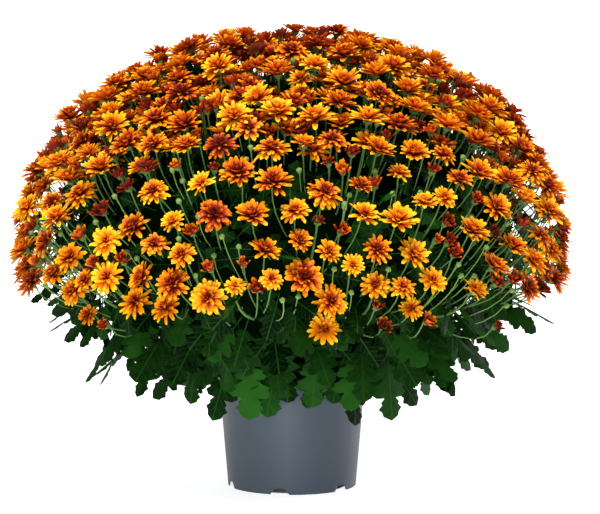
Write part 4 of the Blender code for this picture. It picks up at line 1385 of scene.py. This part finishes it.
def drill(item):
    """Cut the drain holes through the pot's floor."""
    group = bpy.data.collections.new("drains")
    for i in range(NOTCH_COUNT):
        turn = NOTCH_FIRST_TURN + math.tau * i / NOTCH_COUNT
        centre = outward_at(turn) * DRAIN_RING
        bm = bmesh.new()
        bmesh.ops.create_cone(
            bm, cap_ends=True, segments=DRAIN_SIDES, radius1=DRAIN_RADIUS, radius2=DRAIN_RADIUS,
            depth=0.02)
        bmesh.ops.translate(bm, verts=bm.verts, vec=centre + Vector((0.0, 0.0, FLOOR_LEVEL)))
        mesh = bpy.data.meshes.new("drain")
        bm.to_mesh(mesh)
        bm.free()
        group.objects.link(bpy.data.objects.new("drain", mesh))
    cut = item.modifiers.new("drains", "BOOLEAN")
    cut.operation = "DIFFERENCE"
    cut.operand_type = "COLLECTION"
    cut.collection = group
    graph = bpy.context.evaluated_depsgraph_get()
    mesh = bpy.data.meshes.new_from_object(item.evaluated_get(graph))
    item.modifiers.clear()
    item.data = mesh
    for drain in list(group.objects):
        bpy.data.objects.remove(drain, do_unlink=True)
    bpy.data.collections.remove(group)


class CHRYSANTHEMUM_OT_compost(bpy.types.Operator):
    """Give the compost its crumbly finish"""

    bl_idname = "chrysanthemum.compost"
    bl_label = "Compost"

    def execute(self, context):
        """The frame's compost is kept, with a better material in its slot."""
        node = frame["nodes"]["compost"]
        node.material_slots[0].material = soil_paint(context.scene.chrysanthemum_colours)
        return {"FINISHED"}


class CHRYSANTHEMUM_OT_sprays(bpy.types.Operator):
    """Draw every spray: open and half-open blooms, calyxes, buds and stalks"""

    bl_idname = "chrysanthemum.sprays"
    bl_label = "Sprays"

    def execute(self, context):
        """Petals are four-sided blades in layers round each bloom's middle; stalks are tubes."""
        material = petal_paint(context.scene.chrysanthemum_colours)
        rng = random.Random(SEED + 1)
        fill_gaps(PLAN["heads"], rng)
        for i, heads in enumerate(PLAN["heads"]):
            item = draw_spray(f"blooms_{i + 1:02d}", heads, rng, material)
            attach(item, "root")
            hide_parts(f"spray_{i + 1:02d}")
        return {"FINISHED"}


class CHRYSANTHEMUM_OT_foliage(bpy.types.Operator):
    """Draw the shaded core, the main stems and all leaves"""

    bl_idname = "chrysanthemum.foliage"
    bl_label = "Foliage"

    def execute(self, context):
        """Leaves are blades with lobed edges; the core is turned; stems are tubes."""
        sizes = context.scene.chrysanthemum_sizes
        rng = PLAN["rng"]
        leaves = frame_leaves(rng, frame["nodes"]["foliage"])
        if not leaves:
            raise RuntimeError("none of the frame's leaves was found again")
        extra = random.Random(SEED + 2)
        leaves += fringe_leaves(extra, sizes.fringe_leaf_count)
        leaves += skirt_leaves(extra)
        shade = inner_leaves(extra, sizes.inner_leaf_count)
        batch = Batch()
        # The leaves in the shade get a lower tone, which is painted shade
        groups = ((leaves, LEAF_EDGE, 1.0), (shade, SHADE_LEAF_EDGE, SHADE_LIGHT))
        for group, edge, light in groups:
            corners, faces, marks = leaf_cloud(group, edge)
            tones = np.array([[light * extra.random()] for _ in group])
            batch.add(corners, faces, marks[:, 0], 0.5 + marks[:, 1], tones, marks[:, 2])
        lines = []
        for i in range(STEM_COUNT):
            foot, top = stem_line(i)
            lines.append([tuple(foot + (top - foot) * s) for s in (0.0, 0.33, 0.66, 1.0)])
        radii = np.full((STEM_COUNT, 4), STEM_RADIUS * STEM_SLIM)
        corners, faces, _ = tube_arrays(np.array(lines), radii, STEM_SIDES)
        batch.add(corners, faces, 0.5, 0.75, 0.2, 0.0)
        core = Batch()
        corners, faces = core_arrays(CORE_SIDES, sizes.core_inset)
        core.add(corners, faces, 0.0, 0.0, 0.0, 0.0)
        colours = context.scene.chrysanthemum_colours
        for item in (batch.make("leaves_and_stems", leaf_paint(colours), LEAF_SHARP_DEG),
                     core.make("shaded_core", core_paint(colours), CORE_SHARP_DEG)):
            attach(item, "root")
            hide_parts("foliage")
        return {"FINISHED"}


class CHRYSANTHEMUM_OT_stage(bpy.types.Operator):
    """Set the pale floor, the lamps and the camera of the photograph"""

    bl_idname = "chrysanthemum.stage"
    bl_label = "Stage"

    def execute(self, context):
        """A white room with a large soft lamp above and in front, and weak ones low down.

        The floor is a ring round a spot: radius * cos(turn), radius * sin(turn), 0.
        """
        sides = STAGE_SIDES
        turns = np.arange(sides) * math.tau / sides
        circle = np.stack([np.cos(turns), np.sin(turns), 0.0 * turns], axis=1)
        corners = np.vstack([circle * SPOT_RADIUS, circle * STAGE_REACH, WALL])
        rings = [(i, i + sides, (i + 1) % sides + sides, (i + 1) % sides) for i in range(sides)]
        spot = tuple(range(sides))
        wall = tuple(range(2 * sides, 2 * sides + 4))
        mesh = bpy.data.meshes.new("floor")
        mesh.from_pydata(corners, [], rings + [spot, wall])
        floor = bpy.data.objects.new("floor", mesh)
        context.scene.collection.objects.link(floor)
        for name, glow in GLOWS:
            look = Look(name, 0.9, 0.5)
            look.put(look.shader.inputs["Emission Color"], (1.0, 1.0, 1.0))
            look.put(look.shader.inputs["Emission Strength"], glow)
            mesh.materials.append(look.colour((STAGE_WHITE, STAGE_WHITE, STAGE_WHITE)))
        mesh.polygons[sides].material_index = 1
        mesh.polygons[sides + 1].material_index = 2
        world = bpy.data.worlds.new("white_room")
        world.use_nodes = True
        background = world.node_tree.nodes["Background"]
        background.inputs["Color"].default_value = (1.0, 1.0, 1.0, 1.0)
        background.inputs["Strength"].default_value = WORLD_LIGHT
        context.scene.world = world
        for row in LAMPS:
            add_lamp(*row)
        camera = bpy.data.cameras.new("camera")
        camera.sensor_width = 36.0
        camera.lens = VIEW_FOCAL_PX / VIEW_WIDTH_PX * camera.sensor_width
        camera.shift_x = (VIEW_WIDTH_PX / 2 - VIEW_AXIS_PX[0]) / VIEW_WIDTH_PX
        item = bpy.data.objects.new("camera", camera)
        item.location = EYE
        item.rotation_euler = (math.pi / 2 - VIEW_PITCH, 0.0, 0.0)
        context.scene.collection.objects.link(item)
        context.scene.camera = item
        context.scene.view_settings.view_transform = "Standard"
        return {"FINISHED"}


def add_lamp(name, place, aim, size, power, colour, spread_deg):
    """A square soft lamp that faces a point."""
    light = bpy.data.lights.new(name, "AREA")
    light.size = size
    light.energy = power
    light.color = colour
    light.spread = math.radians(spread_deg)
    item = bpy.data.objects.new(name, light)
    item.location = place
    item.rotation_euler = (Vector(aim) - Vector(place)).to_track_quat("-Z", "Y").to_euler()
    bpy.context.scene.collection.objects.link(item)


class CHRYSANTHEMUM_PT_panel(bpy.types.Panel):
    """Buttons and colours of the plant"""

    bl_label = "Chrysanthemum"
    bl_idname = "CHRYSANTHEMUM_PT_panel"
    bl_space_type = "VIEW_3D"
    bl_region_type = "UI"
    bl_category = "Chrysanthemum"

    def draw(self, context):
        """One button for each operator, then the settings."""
        for operator in STEPS:
            self.layout.operator(operator.bl_idname)
        for group in (context.scene.chrysanthemum_sizes, context.scene.chrysanthemum_colours):
            for name in group.__annotations__:
                self.layout.prop(group, name)


PLAN = {}
STEPS = (
    CHRYSANTHEMUM_OT_pot,
    CHRYSANTHEMUM_OT_compost,
    CHRYSANTHEMUM_OT_sprays,
    CHRYSANTHEMUM_OT_foliage,
    CHRYSANTHEMUM_OT_stage,
)
CLASSES = (ChrysanthemumColours, ChrysanthemumSizes) + STEPS + (CHRYSANTHEMUM_PT_panel,)


def register():
    """Add the classes and the scene's settings."""
    for item in CLASSES:
        bpy.utils.register_class(item)
    bpy.types.Scene.chrysanthemum_colours = bpy.props.PointerProperty(type=ChrysanthemumColours)
    bpy.types.Scene.chrysanthemum_sizes = bpy.props.PointerProperty(type=ChrysanthemumSizes)


def unregister():
    """Take the classes and the settings away again."""
    del bpy.types.Scene.chrysanthemum_sizes
    del bpy.types.Scene.chrysanthemum_colours
    for item in reversed(CLASSES):
        bpy.utils.unregister_class(item)


def main():
    """Plan the blooms and draw every piece on the frame."""
    register()
    rng = random.Random(SEED)
    PLAN["heads"] = plan_heads(rng)
    PLAN["rng"] = rng
    bpy.ops.chrysanthemum.pot()
    bpy.ops.chrysanthemum.compost()
    bpy.ops.chrysanthemum.sprays()
    bpy.ops.chrysanthemum.foliage()
    bpy.ops.chrysanthemum.stage()


if __name__ == "__main__":
    main()
